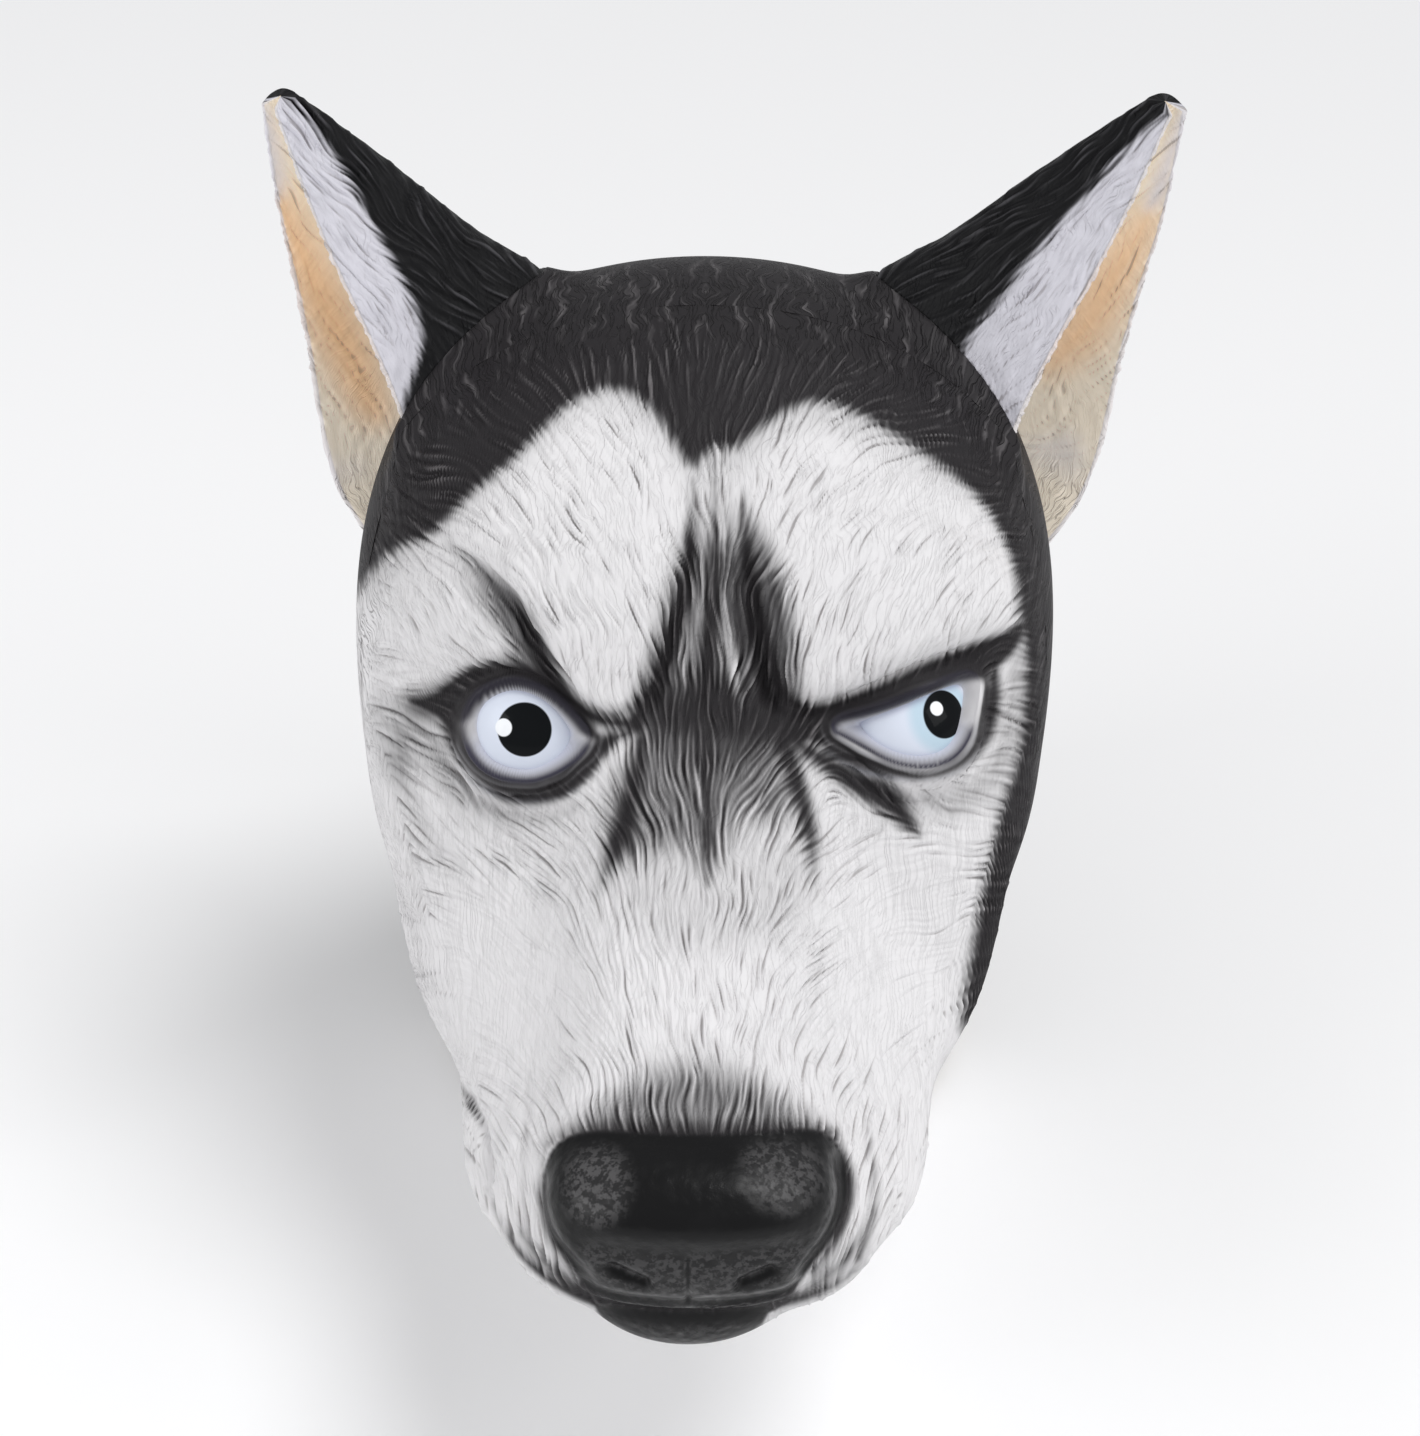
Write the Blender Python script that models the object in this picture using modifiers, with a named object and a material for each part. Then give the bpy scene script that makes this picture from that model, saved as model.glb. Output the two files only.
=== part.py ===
"""Full-head husky mask: a hollow latex skin with ears and a muzzle, and two glossy domed eyes.

The origin is on the inside of the crown, where the wearer's head bears. +Z is up, the face looks
along -Y, and the dog's right side is at -X. Lengths are in metres.
"""

import bpy
import numpy as np
from math import cos, pi, radians, sin
from mathutils import Vector

# Driving dimensions
HEAD_WIDTH = 0.230
HEAD_HEIGHT = 0.233
FACE_REACH = 0.112
BACK_REACH = 0.110
NECK_LENGTH = 0.070
MUZZLE_LENGTH = 0.138
MUZZLE_WIDTH = 0.140
EAR_HEIGHT = 0.068
WALL = 0.0022
EAR_WALL = 0.0026
EAR_TIP_WALL = 0.0018
EYE_RADIUS = 0.023
EYE_WALL = 0.0025
EYE_HALF_ANGLE = radians(74)
LID_WALL = 0.0025
FIT_GAP = 0.0003
HEM_OVERRUN = 0.010

# The hood and the muzzle are one loft. A section runs from its top point to its bottom point and
# back, and its half-widths are given at these shares of the way down.
WIDTH_LEVELS = (0.12, 0.32, 0.52, 0.72, 0.90)

# Forward is a share of FACE_REACH up to 1 and of MUZZLE_LENGTH past it, and of BACK_REACH behind
# the origin. Down is a share of HEAD_HEIGHT up to 1 and of NECK_LENGTH past it. The half-widths
# are shares of half HEAD_WIDTH, or of half MUZZLE_WIDTH where the last column is 1.
# name, top forward, top down, bottom forward, bottom down, five half-widths, muzzle
SECTIONS = (
    ("hem", -1.00, 1.78, 0.80, 2.03, 0.56, 0.81, 0.87, 0.81, 0.56, 0),
    ("neck", -0.97, 0.87, 0.76, 1.56, 0.57, 0.81, 0.86, 0.80, 0.56, 0),
    ("nape", -1.00, 0.55, 0.79, 1.22, 0.62, 0.88, 0.92, 0.86, 0.60, 0),
    ("occiput", -0.88, 0.26, 0.86, 1.10, 0.71, 0.96, 0.98, 0.91, 0.63, 0),
    ("ear_line", -0.54, 0.05, 0.94, 1.06, 0.78, 1.00, 1.01, 0.93, 0.61, 0),
    ("crown", -0.05, -0.01, 1.02, 1.03, 0.76, 0.98, 1.00, 0.90, 0.58, 0),
    ("forehead", 0.45, 0.06, 1.09, 1.00, 0.65, 0.79, 0.89, 0.85, 0.57, 0),
    ("brow", 0.83, 0.21, 1.17, 1.00, 0.41, 0.53, 0.76, 0.81, 0.57, 0),
    ("stop", 1.00, 0.35, 1.28, 1.00, 0.27, 0.43, 0.64, 0.73, 0.51, 0),
    ("bridge_root", 1.19, 0.43, 1.41, 0.99, 0.41, 0.66, 0.93, 1.07, 0.76, 1),
    ("bridge_mid", 1.44, 0.51, 1.55, 0.99, 0.42, 0.62, 0.85, 1.02, 0.72, 1),
    ("bridge_end", 1.66, 0.57, 1.70, 0.98, 0.45, 0.62, 0.81, 0.91, 0.56, 1),
    ("nose_back", 1.83, 0.63, 1.82, 0.97, 0.46, 0.60, 0.74, 0.68, 0.38, 1),
    ("nose_front", 1.95, 0.70, 1.90, 0.945, 0.36, 0.48, 0.55, 0.46, 0.25, 1),
    ("tip", 1.98, 0.81, 1.98, 0.815, 0.003, 0.005, 0.006, 0.005, 0.003, 1),
)

# Soft lumps that push the loft out. Across and the three half-sizes are shares of half
# MUZZLE_WIDTH, forward and down are read as in SECTIONS, and a higher power is a squarer lump.
# name, across, forward, down, half across, half along, half tall, power
SWELLS = (
    ("brow_right", -0.62, 0.40, 0.31, 0.66, 0.70, 0.60, 2.0),
    ("brow_left", 0.66, 0.42, 0.35, 0.74, 0.74, 0.56, 2.0),
    ("cheek_right", -0.90, 0.55, 0.64, 0.58, 0.66, 0.55, 2.0),
    ("cheek_left", 0.90, 0.55, 0.64, 0.58, 0.66, 0.55, 2.0),
    ("whisker_pad_right", -0.42, 1.67, 0.81, 0.38, 0.50, 0.36, 2.2),
    ("whisker_pad_left", 0.42, 1.67, 0.81, 0.38, 0.50, 0.36, 2.2),
    ("lower_lip", -0.03, 1.78, 0.92, 0.44, 0.31, 0.26, 2.0),
    ("nose", 0.00, 1.86, 0.74, 0.60, 0.38, 0.36, 2.8),
)
SWELL_BLEND = 0.35
LID_BLEND = 0.25

# Creases pressed into the skin. Half-width and depth are shares of MUZZLE_WIDTH, and the route is
# (section, round) pairs: round runs from 0 at the top to 0.5 at the bottom, minus on the right.
CREASES = (
    ("furrow_right", 0.046, 0.028, ((6.79, -0.012), (7.41, -0.018), (7.97, -0.036))),
    ("furrow_left", 0.046, 0.028, ((6.85, 0.020), (7.33, 0.034), (7.81, 0.048))),
    ("brow_fold_right", 0.046, 0.028,
     ((5.95, -0.146), (6.55, -0.110), (6.95, -0.096), (7.25, -0.090))),
    ("lid_line_left", 0.044, 0.020,
     ((7.77, 0.054), (7.23, 0.100), (6.75, 0.126), (6.25, 0.160), (5.79, 0.190))),
    ("nose_side_right", 0.026, 0.018,
     ((11.40, -0.120), (11.66, -0.184), (12.48, -0.200), (13.10, -0.210))),
    ("nose_side_left", 0.026, 0.018,
     ((11.40, 0.120), (11.60, 0.188), (12.38, 0.204), (13.10, 0.214))),
    ("nostril_right", 0.030, 0.024, ((13.20, -0.130), (13.30, -0.200))),
    ("nostril_left", 0.030, 0.024, ((13.20, 0.130), (13.30, 0.200))),
    ("mouth_right", 0.030, 0.024,
     ((9.40, -0.300), (10.66, -0.268), (12.06, -0.272), (12.84, -0.285))),
    ("mouth_left", 0.030, 0.024,
     ((9.40, 0.300), (10.60, 0.268), (11.80, 0.272), (12.84, 0.285))),
    ("cheek_fold_right", 0.050, 0.014, ((6.69, -0.268), (7.93, -0.264), (9.37, -0.254))),
    ("cheek_fold_left", 0.050, 0.014, ((6.69, 0.268), (7.93, 0.264), (9.37, 0.254))),
)

# Four edges of the ear's folded leaf, from its root inside the head to its tip. Across is a share
# of half HEAD_WIDTH, back a share of BACK_REACH and up a share of EAR_HEIGHT.
# name, then across, back and up of the near rim, the medial ridge, the back ridge, the far rim
EAR_SECTIONS = (
    ("root", 0.76, -0.20, -1.25, 0.36, 0.20, -0.80, 0.60, 0.28, -1.45, 0.91, 0.04, -1.62),
    ("heel", 0.79, -0.22, -0.98, 0.40, 0.26, -0.48, 0.67, 0.37, -1.12, 1.06, 0.10, -1.36),
    ("cup", 0.82, -0.22, -0.74, 0.44, 0.29, -0.27, 0.73, 0.42, -0.84, 1.16, 0.17, -1.03),
    ("base", 0.86, -0.19, -0.49, 0.50, 0.31, -0.07, 0.80, 0.47, -0.51, 1.20, 0.23, -0.60),
    ("low", 0.94, -0.13, -0.16, 0.64, 0.27, 0.12, 0.90, 0.45, -0.18, 1.22, 0.23, -0.28),
    ("mid", 1.05, -0.05, 0.21, 0.79, 0.20, 0.37, 0.99, 0.38, 0.18, 1.24, 0.22, 0.03),
    ("high", 1.13, 0.00, 0.53, 0.96, 0.17, 0.63, 1.10, 0.29, 0.53, 1.255, 0.18, 0.35),
    ("tip", 1.21, 0.06, 0.90, 1.165, 0.10, 0.95, 1.21, 0.13, 0.96, 1.26, 0.11, 0.91),
)

# name, side, and how far the tip leans out as a share of its distance across
EARS = (("right_ear", -1, -0.035), ("left_ear", 1, 0.035))

# The eyes and the openings between the lids. Across is a share of half HEAD_WIDTH, forward and
# down are read as in SECTIONS, and the opening's sizes are shares of EYE_RADIUS. The gaze is in
# degrees to the left of straight ahead, and up.
# name, across, forward, down, half width, rise, drop, tilt, gaze left, gaze up
EYES = (
    ("right_eye", -0.465, 0.81, 0.452, 0.78, 0.62, 0.60, 0, 0, 30),
    ("left_eye", 0.560, 0.78, 0.450, 0.90, 0.38, 0.56, 20, 30, 30),
)
OPENING_LIFT = radians(33)
OPENING_POINTS = 28

LATEX_WHITE = (0.62, 0.61, 0.62, 1.0)
EYE_BLUE_WHITE = (0.72, 0.76, 0.86, 1.0)


def clear_scene():
    """Remove every object of the scene."""
    for thing in list(bpy.data.objects):
        bpy.data.objects.remove(thing, do_unlink=True)


def forward(share):
    """Distance ahead of the origin for a forward share."""
    ahead = np.clip(share, 0, 1) * FACE_REACH + np.maximum(share - 1, 0) * MUZZLE_LENGTH
    return np.where(share < 0, share * BACK_REACH, ahead)


def down(share):
    """Distance below the origin for a down share."""
    return np.minimum(share, 1) * HEAD_HEIGHT + np.maximum(share - 1, 0) * NECK_LENGTH


def spline(knots, values, places):
    """Natural cubic spline through the values at the knots, read at the places."""
    knots = np.asarray(knots, float)
    values = np.asarray(values, float)
    places = np.asarray(places, float)
    count = len(knots)
    step = np.diff(knots)
    rows = np.eye(count)
    right = np.zeros_like(values)
    for i in range(1, count - 1):
        rows[i, i - 1:i + 2] = step[i - 1], 2 * (step[i - 1] + step[i]), step[i]
        rise = (values[i + 1] - values[i]) / step[i] - (values[i] - values[i - 1]) / step[i - 1]
        right[i] = 6 * rise
    bend = np.linalg.solve(rows, right.reshape(count, -1)).reshape(values.shape)
    i = np.clip(np.searchsorted(knots, places) - 1, 0, count - 2)
    spread = (slice(None),) + (None,) * (values.ndim - 1)
    past = (places - knots[i])[spread]
    left = (knots[i + 1] - places)[spread]
    gap = step[i][spread]
    return ((bend[i] * left ** 3 + bend[i + 1] * past ** 3) / (6 * gap)
            + (values[i] / gap - bend[i] * gap / 6) * left
            + (values[i + 1] / gap - bend[i + 1] * gap / 6) * past)


def plain_rings(stations, rounds):
    """Points of the loft before its lumps and creases: a ring for each station."""
    table = np.array([row[1:] for row in SECTIONS], float)
    muzzle = table[:, 9:]
    half = (HEAD_WIDTH * (1 - muzzle) + MUZZLE_WIDTH * muzzle) / 2
    sizes = np.column_stack([forward(table[:, 0]), down(table[:, 1]), forward(table[:, 2]),
                             down(table[:, 3]), table[:, 4:9] * half])
    sizes = spline(np.arange(len(sizes)), sizes, stations)
    levels = np.array((0,) + WIDTH_LEVELS + (1,))
    rings = np.zeros((len(sizes), len(rounds), 3))
    for ring, size in zip(rings, sizes):
        top = np.array((0, -size[0], -size[1]))
        bottom = np.array((0, -size[2], -size[3]))
        length = np.linalg.norm(bottom - top) + 1e-9
        side = np.stack([np.r_[0, size[4:9], 0], levels * length], 1)
        outline = np.concatenate([side, side[-2:0:-1] * [-1, 1]])
        outline = np.concatenate([outline[-3:], outline, outline[:4]])
        run = np.r_[0, np.cumsum(np.linalg.norm(np.diff(outline, axis=0), axis=1))]
        places = run[3] + (run[-4] - run[3]) * (np.asarray(rounds) % 1.0)
        curve = spline(run, outline, places)
        ring[:] = top + curve[:, 1:] * (bottom - top) / length
        ring[:, 0] += curve[:, 0]
    return rings


def swell(points):
    """Push points out of the lumps, with a soft shoulder round each one."""
    points = points.copy()
    for name, across, ahead, low, *halves, power in SWELLS:
        centre = np.array((across * MUZZLE_WIDTH / 2, -forward(ahead), -down(low)))
        halves = np.array(halves) * MUZZLE_WIDTH / 2
        reach = points - centre
        level = (np.abs(reach / halves) ** power).sum(-1) ** (1 / power)
        level = np.maximum(level, 0.05)
        shoulder = np.maximum(SWELL_BLEND - np.abs(level - 1), 0) / SWELL_BLEND
        raised = np.maximum(level, 1) + shoulder ** 2 * SWELL_BLEND / 4
        points = centre + reach * (raised / level)[..., None]
    return points


def wrap_lids(points):
    """Push points out of a ball round each eye, so that the lids wrap it with their full wall."""
    lid = EYE_RADIUS + FIT_GAP + LID_WALL
    for centre in eye_centres():
        reach = points - centre
        level = np.linalg.norm(reach, axis=-1) / lid
        shoulder = np.maximum(LID_BLEND - np.abs(level - 1), 0) / LID_BLEND
        raised = np.maximum(level, 1) + shoulder ** 2 * LID_BLEND / 4
        points = centre + reach * (raised / level)[..., None]
    return points


def eye_centres():
    """Centre of each eye's ball."""
    return [np.array((row[1] * HEAD_WIDTH / 2, -forward(row[2]), -down(row[3]))) for row in EYES]


def outward(rings):
    """Unit normals of a grid of rings, pointing out of the head."""
    across = np.roll(rings, -1, axis=1) - np.roll(rings, 1, axis=1)
    along = np.gradient(rings, axis=0)
    normals = np.cross(across, along)
    normals /= np.linalg.norm(normals, axis=-1, keepdims=True) + 1e-12
    normals = np.roll(normals, 1, axis=1) + 2 * normals + np.roll(normals, -1, axis=1)
    normals[1:-1] = normals[:-2] + 2 * normals[1:-1] + normals[2:]
    normals /= np.linalg.norm(normals, axis=-1, keepdims=True) + 1e-12
    middle = len(rings) // 3
    side = (rings[middle] - rings[middle].mean(axis=0)) * normals[middle]
    return normals if side.sum() > 0 else -normals


def distance_to_route(points, route):
    """Distance from points to a chain of straight runs."""
    nearest = np.full(points.shape[:-1], np.inf)
    for start, end in zip(route[:-1], route[1:]):
        run = end - start
        share = np.clip((points - start) @ run / (run @ run), 0, 1)
        gap = np.linalg.norm(points - start - share[..., None] * run, axis=-1)
        nearest = np.minimum(nearest, gap)
    return nearest


def head_rings(stations, rounds, depth):
    """Points of the outer skin, or of the hollow a depth below it, which leaves out the lids."""
    points = swell(plain_rings(stations, rounds))
    normals = outward(points)
    press = np.zeros(points.shape[:-1])
    for name, half_width, deep, route in CREASES:
        line = [swell(plain_rings([station], [place]))[0, 0] for station, place in route]
        reach = half_width * MUZZLE_WIDTH + depth
        away = distance_to_route(points, np.array(line))
        press += deep * MUZZLE_WIDTH * np.exp(-(away / reach) ** 2)
    points -= normals * press[..., None]
    return points - outward(points) * depth if depth else wrap_lids(points)


def round_places(count, crowding):
    """Places round a section, closer together over the face than under the throat."""
    even = np.arange(count) / count - 0.5
    return even - crowding * np.sin(2 * pi * even) / (2 * pi)


def loft_object(name, rings, collection):
    """One closed mesh object from a stack of rings, with its two ends capped."""
    levels, around = rings.shape[:2]
    faces = [tuple(range(around))]
    for level in range(levels - 1):
        for i in range(around):
            j = (i + 1) % around
            low, high = level * around, (level + 1) * around
            faces.append((low + j, low + i, high + i, high + j))
    faces.append(tuple(reversed(range((levels - 1) * around, levels * around))))
    mesh = bpy.data.meshes.new(name)
    mesh.from_pydata([tuple(p) for p in rings.reshape(-1, 3)], [], faces)
    thing = bpy.data.objects.new(name, mesh)
    collection.objects.link(thing)
    if signed_volume(mesh) < 0:
        mesh.flip_normals()
    return thing


def signed_volume(mesh):
    """Volume inside a closed mesh, minus when its faces point in."""
    mesh.calc_loop_triangles()
    points = [vertex.co for vertex in mesh.vertices]
    total = 0.0
    for triangle in mesh.loop_triangles:
        a, b, c = (points[i] for i in triangle.vertices)
        total += a.dot(b.cross(c))
    return total / 6


def ear_rings(side, lean):
    """Closed sections of one ear's folded leaf, from its root to its tip."""
    table = np.array([row[1:] for row in EAR_SECTIONS], float).reshape(-1, 4, 3)
    table[..., 0] *= 1 + lean * np.linspace(0, 1, len(table))[:, None]
    table *= (side * HEAD_WIDTH / 2, BACK_REACH, EAR_HEIGHT)
    levels = np.linspace(0, len(table) - 1, 15)
    sections = spline(np.arange(len(table)), table, levels)
    rings = []
    for level, edges in zip(levels, sections):
        run = np.r_[0, np.cumsum(np.linalg.norm(np.diff(edges, axis=0), axis=1))]
        outer = spline(run, edges, np.linspace(0, run[-1], 10))
        plane = np.cross(edges[1] - edges[0], edges[3] - edges[1])
        inward = np.cross(plane, np.gradient(outer, axis=0))
        inward /= np.linalg.norm(inward, axis=1, keepdims=True)
        if (inward * (outer.mean(axis=0) - outer)).sum() < 0:
            inward = -inward
        thin = (level / levels[-1]) ** 2
        wall = EAR_WALL * (1 - thin) + EAR_TIP_WALL * thin
        rings.append(np.concatenate([outer, (outer + inward * wall)[::-1]]))
    return np.array(rings)


def eye_bowl(name, centre, gaze_left, gaze_up, collection):
    """Domed bowl of one eye, turned round its gaze."""
    points = []
    for radius in (EYE_RADIUS, EYE_RADIUS - EYE_WALL):
        steps = 8 if radius == EYE_RADIUS else 5
        arc = [EYE_HALF_ANGLE * i / steps for i in range(steps + 1)]
        if radius != EYE_RADIUS:
            arc.reverse()
        points += [(radius * sin(a), 0, radius * cos(a)) for a in arc]
    mesh = bpy.data.meshes.new(name)
    mesh.from_pydata(points, [(i, i + 1) for i in range(len(points) - 1)], [])
    eye = bpy.data.objects.new(name, mesh)
    collection.objects.link(eye)
    turn = eye.modifiers.new("turn", "SCREW")
    turn.steps = turn.render_steps = 26
    turn.use_merge_vertices = True
    turn.merge_threshold = 0.00005
    turn.use_smooth_shade = True
    turn.use_normal_calculate = True
    eye.location = centre
    left, up = radians(gaze_left), radians(gaze_up)
    gaze = Vector((sin(left) * cos(up), -cos(left) * cos(up), sin(up)))
    eye.rotation_euler = gaze.to_track_quat("Z", "Y").to_euler()
    return eye


def socket_cutter(name, centre, collection):
    """Ball that clears the skin away behind the lids."""
    bpy.ops.mesh.primitive_uv_sphere_add(segments=32, ring_count=18,
                                         radius=EYE_RADIUS + FIT_GAP, location=centre)
    ball = bpy.context.object
    ball.name = name
    for owner in list(ball.users_collection):
        owner.objects.unlink(ball)
    collection.objects.link(ball)
    return ball


def lid_cutter(name, centre, half_width, rise, drop, tilt, collection):
    """Prism that opens the skin between the lids, seen from in front and above."""
    view = np.array((0, -cos(OPENING_LIFT), sin(OPENING_LIFT)))
    up = np.array((0, sin(OPENING_LIFT), cos(OPENING_LIFT)))
    right = np.array((1.0, 0, 0))
    rings = []
    for reach, flare in ((0.30, 0.96), (2.2, 1.04)):
        ring = []
        for i in range(OPENING_POINTS):
            angle = 2 * pi * i / OPENING_POINTS
            across = half_width * cos(angle)
            tall = (rise if sin(angle) > 0 else drop) * sin(angle)
            lean = radians(tilt)
            x = (across * cos(lean) - tall * sin(lean)) * EYE_RADIUS * flare
            y = (across * sin(lean) + tall * cos(lean)) * EYE_RADIUS * flare
            ring.append(centre + view * reach * EYE_RADIUS + right * x + up * y)
        rings.append(ring)
    return loft_object(name, np.array(rings), collection)


def paint(thing, name, colour, roughness):
    """Give an object its own material."""
    material = bpy.data.materials.new(name)
    material.use_nodes = True
    shader = material.node_tree.nodes["Principled BSDF"]
    shader.inputs["Base Color"].default_value = colour
    shader.inputs["Roughness"].default_value = roughness
    shader.inputs["Metallic"].default_value = 0.0
    thing.data.materials.append(material)


def combine(thing, other, operation):
    """Join another object to this one, or cut it away."""
    step = thing.modifiers.new(other.name, "BOOLEAN")
    step.operation = operation
    step.solver = "EXACT"
    step.object = other
    other.hide_render = True
    other.display_type = "WIRE"


def build():
    """Model the skin and the two eyes."""
    clear_scene()
    parts = bpy.data.collections.new("latex_animal_mask")
    cutters = bpy.data.collections.new("cutters")
    bpy.context.scene.collection.children.link(parts)
    bpy.context.scene.collection.children.link(cutters)

    stations = np.r_[np.arange(0, 5, 0.55), np.arange(5, 6.1, 0.26), np.arange(6.2, 8.6, 0.16),
                     np.arange(8.7, 11.4, 0.3), np.arange(11.5, 13.95, 0.175)]
    skin = loft_object("head_skin", head_rings(stations, round_places(62, 0.5), 0.0), parts)
    for name, side, lean in EARS:
        combine(skin, loft_object(name, ear_rings(side, lean), cutters), "UNION")

    stations = np.r_[np.arange(0, 5, 0.8), np.arange(5.2, 8.5, 0.36), np.arange(8.8, 13.3, 0.4)]
    inside = head_rings(stations, round_places(32, 0.35), WALL)
    past_hem = inside[:1] - (0, 0, HEM_OVERRUN)
    combine(skin, loft_object("hollow", np.concatenate([past_hem, inside]), cutters),
            "DIFFERENCE")
    for row, centre in zip(EYES, eye_centres()):
        name, half_width, rise, drop, tilt, gaze_left, gaze_up = row[0], *row[4:]
        combine(skin, socket_cutter(name + "_socket", centre, cutters), "DIFFERENCE")
        cutter = lid_cutter(name + "_lids", centre, half_width, rise, drop, tilt, cutters)
        combine(skin, cutter, "DIFFERENCE")
        eye = eye_bowl(name, centre, gaze_left, gaze_up, parts)
        paint(eye, name + "_gloss", EYE_BLUE_WHITE, 0.08)
    skin.data.shade_smooth()
    skin.data.set_sharp_from_angle(angle=radians(50))
    paint(skin, "latex", LATEX_WHITE, 0.55)


build()
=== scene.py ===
"""Looks of a full-head husky mask: a painted latex skin with moulded fur, two ears and glossy eyes.

The skin follows the same named form as the solid, with the folds, lids and paint laid on as they
are seen by the camera. Lengths are in metres, and depths of folds in millimetres.
"""

import logging
from dataclasses import dataclass
from enum import Enum
from functools import lru_cache
from math import asin, cos, pi, radians, sin

import bpy
import numpy as np
from mathutils import Matrix, Vector
from mathutils.kdtree import KDTree


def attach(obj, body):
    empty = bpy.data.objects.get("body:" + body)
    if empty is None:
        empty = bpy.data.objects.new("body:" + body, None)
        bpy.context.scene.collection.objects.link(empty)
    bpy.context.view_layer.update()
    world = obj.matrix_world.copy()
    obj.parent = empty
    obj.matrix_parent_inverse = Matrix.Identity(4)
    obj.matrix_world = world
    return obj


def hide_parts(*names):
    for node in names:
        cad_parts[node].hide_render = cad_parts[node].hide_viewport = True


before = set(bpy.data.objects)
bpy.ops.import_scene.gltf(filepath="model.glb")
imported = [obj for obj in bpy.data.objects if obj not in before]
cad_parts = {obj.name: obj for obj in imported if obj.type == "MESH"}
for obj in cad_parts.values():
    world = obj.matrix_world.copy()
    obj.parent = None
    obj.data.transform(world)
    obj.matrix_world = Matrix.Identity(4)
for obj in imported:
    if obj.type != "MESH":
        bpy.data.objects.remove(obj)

LOG = logging.getLogger("husky_mask")
Pixels = tuple[tuple[float, float], ...]
Point = tuple[float, float, float]
Wire = bpy.types.NodeSocket
Colour = tuple[float, float, float, float]
MM = 0.001


def smoothstep(low: float, high: float, value: np.ndarray) -> np.ndarray:
    """Soft step from 0 at low to 1 at high.

    Args:
        low: Where the step starts.
        high: Where the step ends.
        value: Numbers to read the step at.

    Returns:
        The step's height at each number.
    """
    share = np.clip((value - low) / (high - low), 0.0, 1.0)
    return share * share * (3.0 - 2.0 * share)


def rounded(line: Pixels, closed: bool) -> np.ndarray:
    """Cut the corners of a line twice, so that it runs in a soft curve.

    Args:
        line: Corners of the line.
        closed: Whether it runs back to its start.

    Returns:
        The points of the softened line.
    """
    points = np.array(line, float)
    for _ in range(2):
        after = np.roll(points, -1, axis=0) if closed else points[1:]
        before = points if closed else points[:-1]
        cut = np.stack([0.75 * before + 0.25 * after, 0.25 * before + 0.75 * after], 1)
        cut = cut.reshape(-1, 2)
        points = cut if closed else np.concatenate([points[:1], cut, points[-1:]])
    return points


def outline_gap(places: np.ndarray, outline: Pixels) -> np.ndarray:
    """Distance from places to a closed outline, minus inside it.

    Args:
        places: Picture places, two numbers each.
        outline: Corners of the outline.

    Returns:
        The distance of each place in pixels.
    """
    line = rounded(outline, True)
    x, y = places[..., 0], places[..., 1]
    nearest = np.full(x.shape, 1e12)
    inside = np.zeros(x.shape, bool)
    for (ax, ay), (bx, by) in zip(line, np.roll(line, -1, axis=0)):
        dx, dy = bx - ax, by - ay
        share = np.clip(((x - ax) * dx + (y - ay) * dy) / (dx * dx + dy * dy + 1e-9), 0, 1)
        nearest = np.minimum(nearest, (x - ax - share * dx) ** 2 + (y - ay - share * dy) ** 2)
        rise = dy if abs(dy) > 1e-9 else 1e-9
        inside ^= ((ay > y) != (by > y)) & (x < dx * (y - ay) / rise + ax)
    return np.where(inside, -1.0, 1.0) * np.sqrt(nearest)


def line_gap(places: np.ndarray, route: Pixels) -> tuple[np.ndarray, np.ndarray]:
    """Distance from places to an open line.

    Args:
        places: Picture places, two numbers each.
        route: Corners of the line.

    Returns:
        The distance of each place in pixels, and how far along the line its nearest point is.
    """
    line = rounded(route, False)
    runs = np.linalg.norm(np.diff(line, axis=0), axis=1)
    starts = np.r_[0, np.cumsum(runs)]
    x, y = places[..., 0], places[..., 1]
    nearest = np.full(x.shape, 1e12)
    along = np.zeros(x.shape)
    for (ax, ay), (bx, by), run, start in zip(line[:-1], line[1:], runs, starts):
        dx, dy = bx - ax, by - ay
        share = np.clip(((x - ax) * dx + (y - ay) * dy) / (run * run + 1e-9), 0, 1)
        away = (x - ax - share * dx) ** 2 + (y - ay - share * dy) ** 2
        closer = away < nearest
        nearest = np.where(closer, away, nearest)
        along = np.where(closer, (start + share * run) / starts[-1], along)
    return np.sqrt(nearest), along


def read_along(values: tuple[float, ...], share: np.ndarray) -> np.ndarray:
    """Values spread evenly along a line, read at shares of its length."""
    return np.interp(share, np.linspace(0, 1, len(values)), values)


def soft_noise(along: np.ndarray, across: np.ndarray, seed: int) -> np.ndarray:
    """Smooth random heights from 0 to 1, one cell to each unit.

    Args:
        along: First coordinate, in cells.
        across: Second coordinate, in cells.
        seed: Which pattern.

    Returns:
        The height at each place.
    """
    lattice = np.random.default_rng(seed).random((256, 256))
    i, j = np.floor(along).astype(int), np.floor(across).astype(int)
    u, v = along - i, across - j
    u, v = u * u * (3 - 2 * u), v * v * (3 - 2 * v)
    low = lattice[i % 256, j % 256] * (1 - u) + lattice[(i + 1) % 256, j % 256] * u
    high = lattice[i % 256, (j + 1) % 256] * (1 - u) + lattice[(i + 1) % 256, (j + 1) % 256] * u
    return low * (1 - v) + high * v


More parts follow.
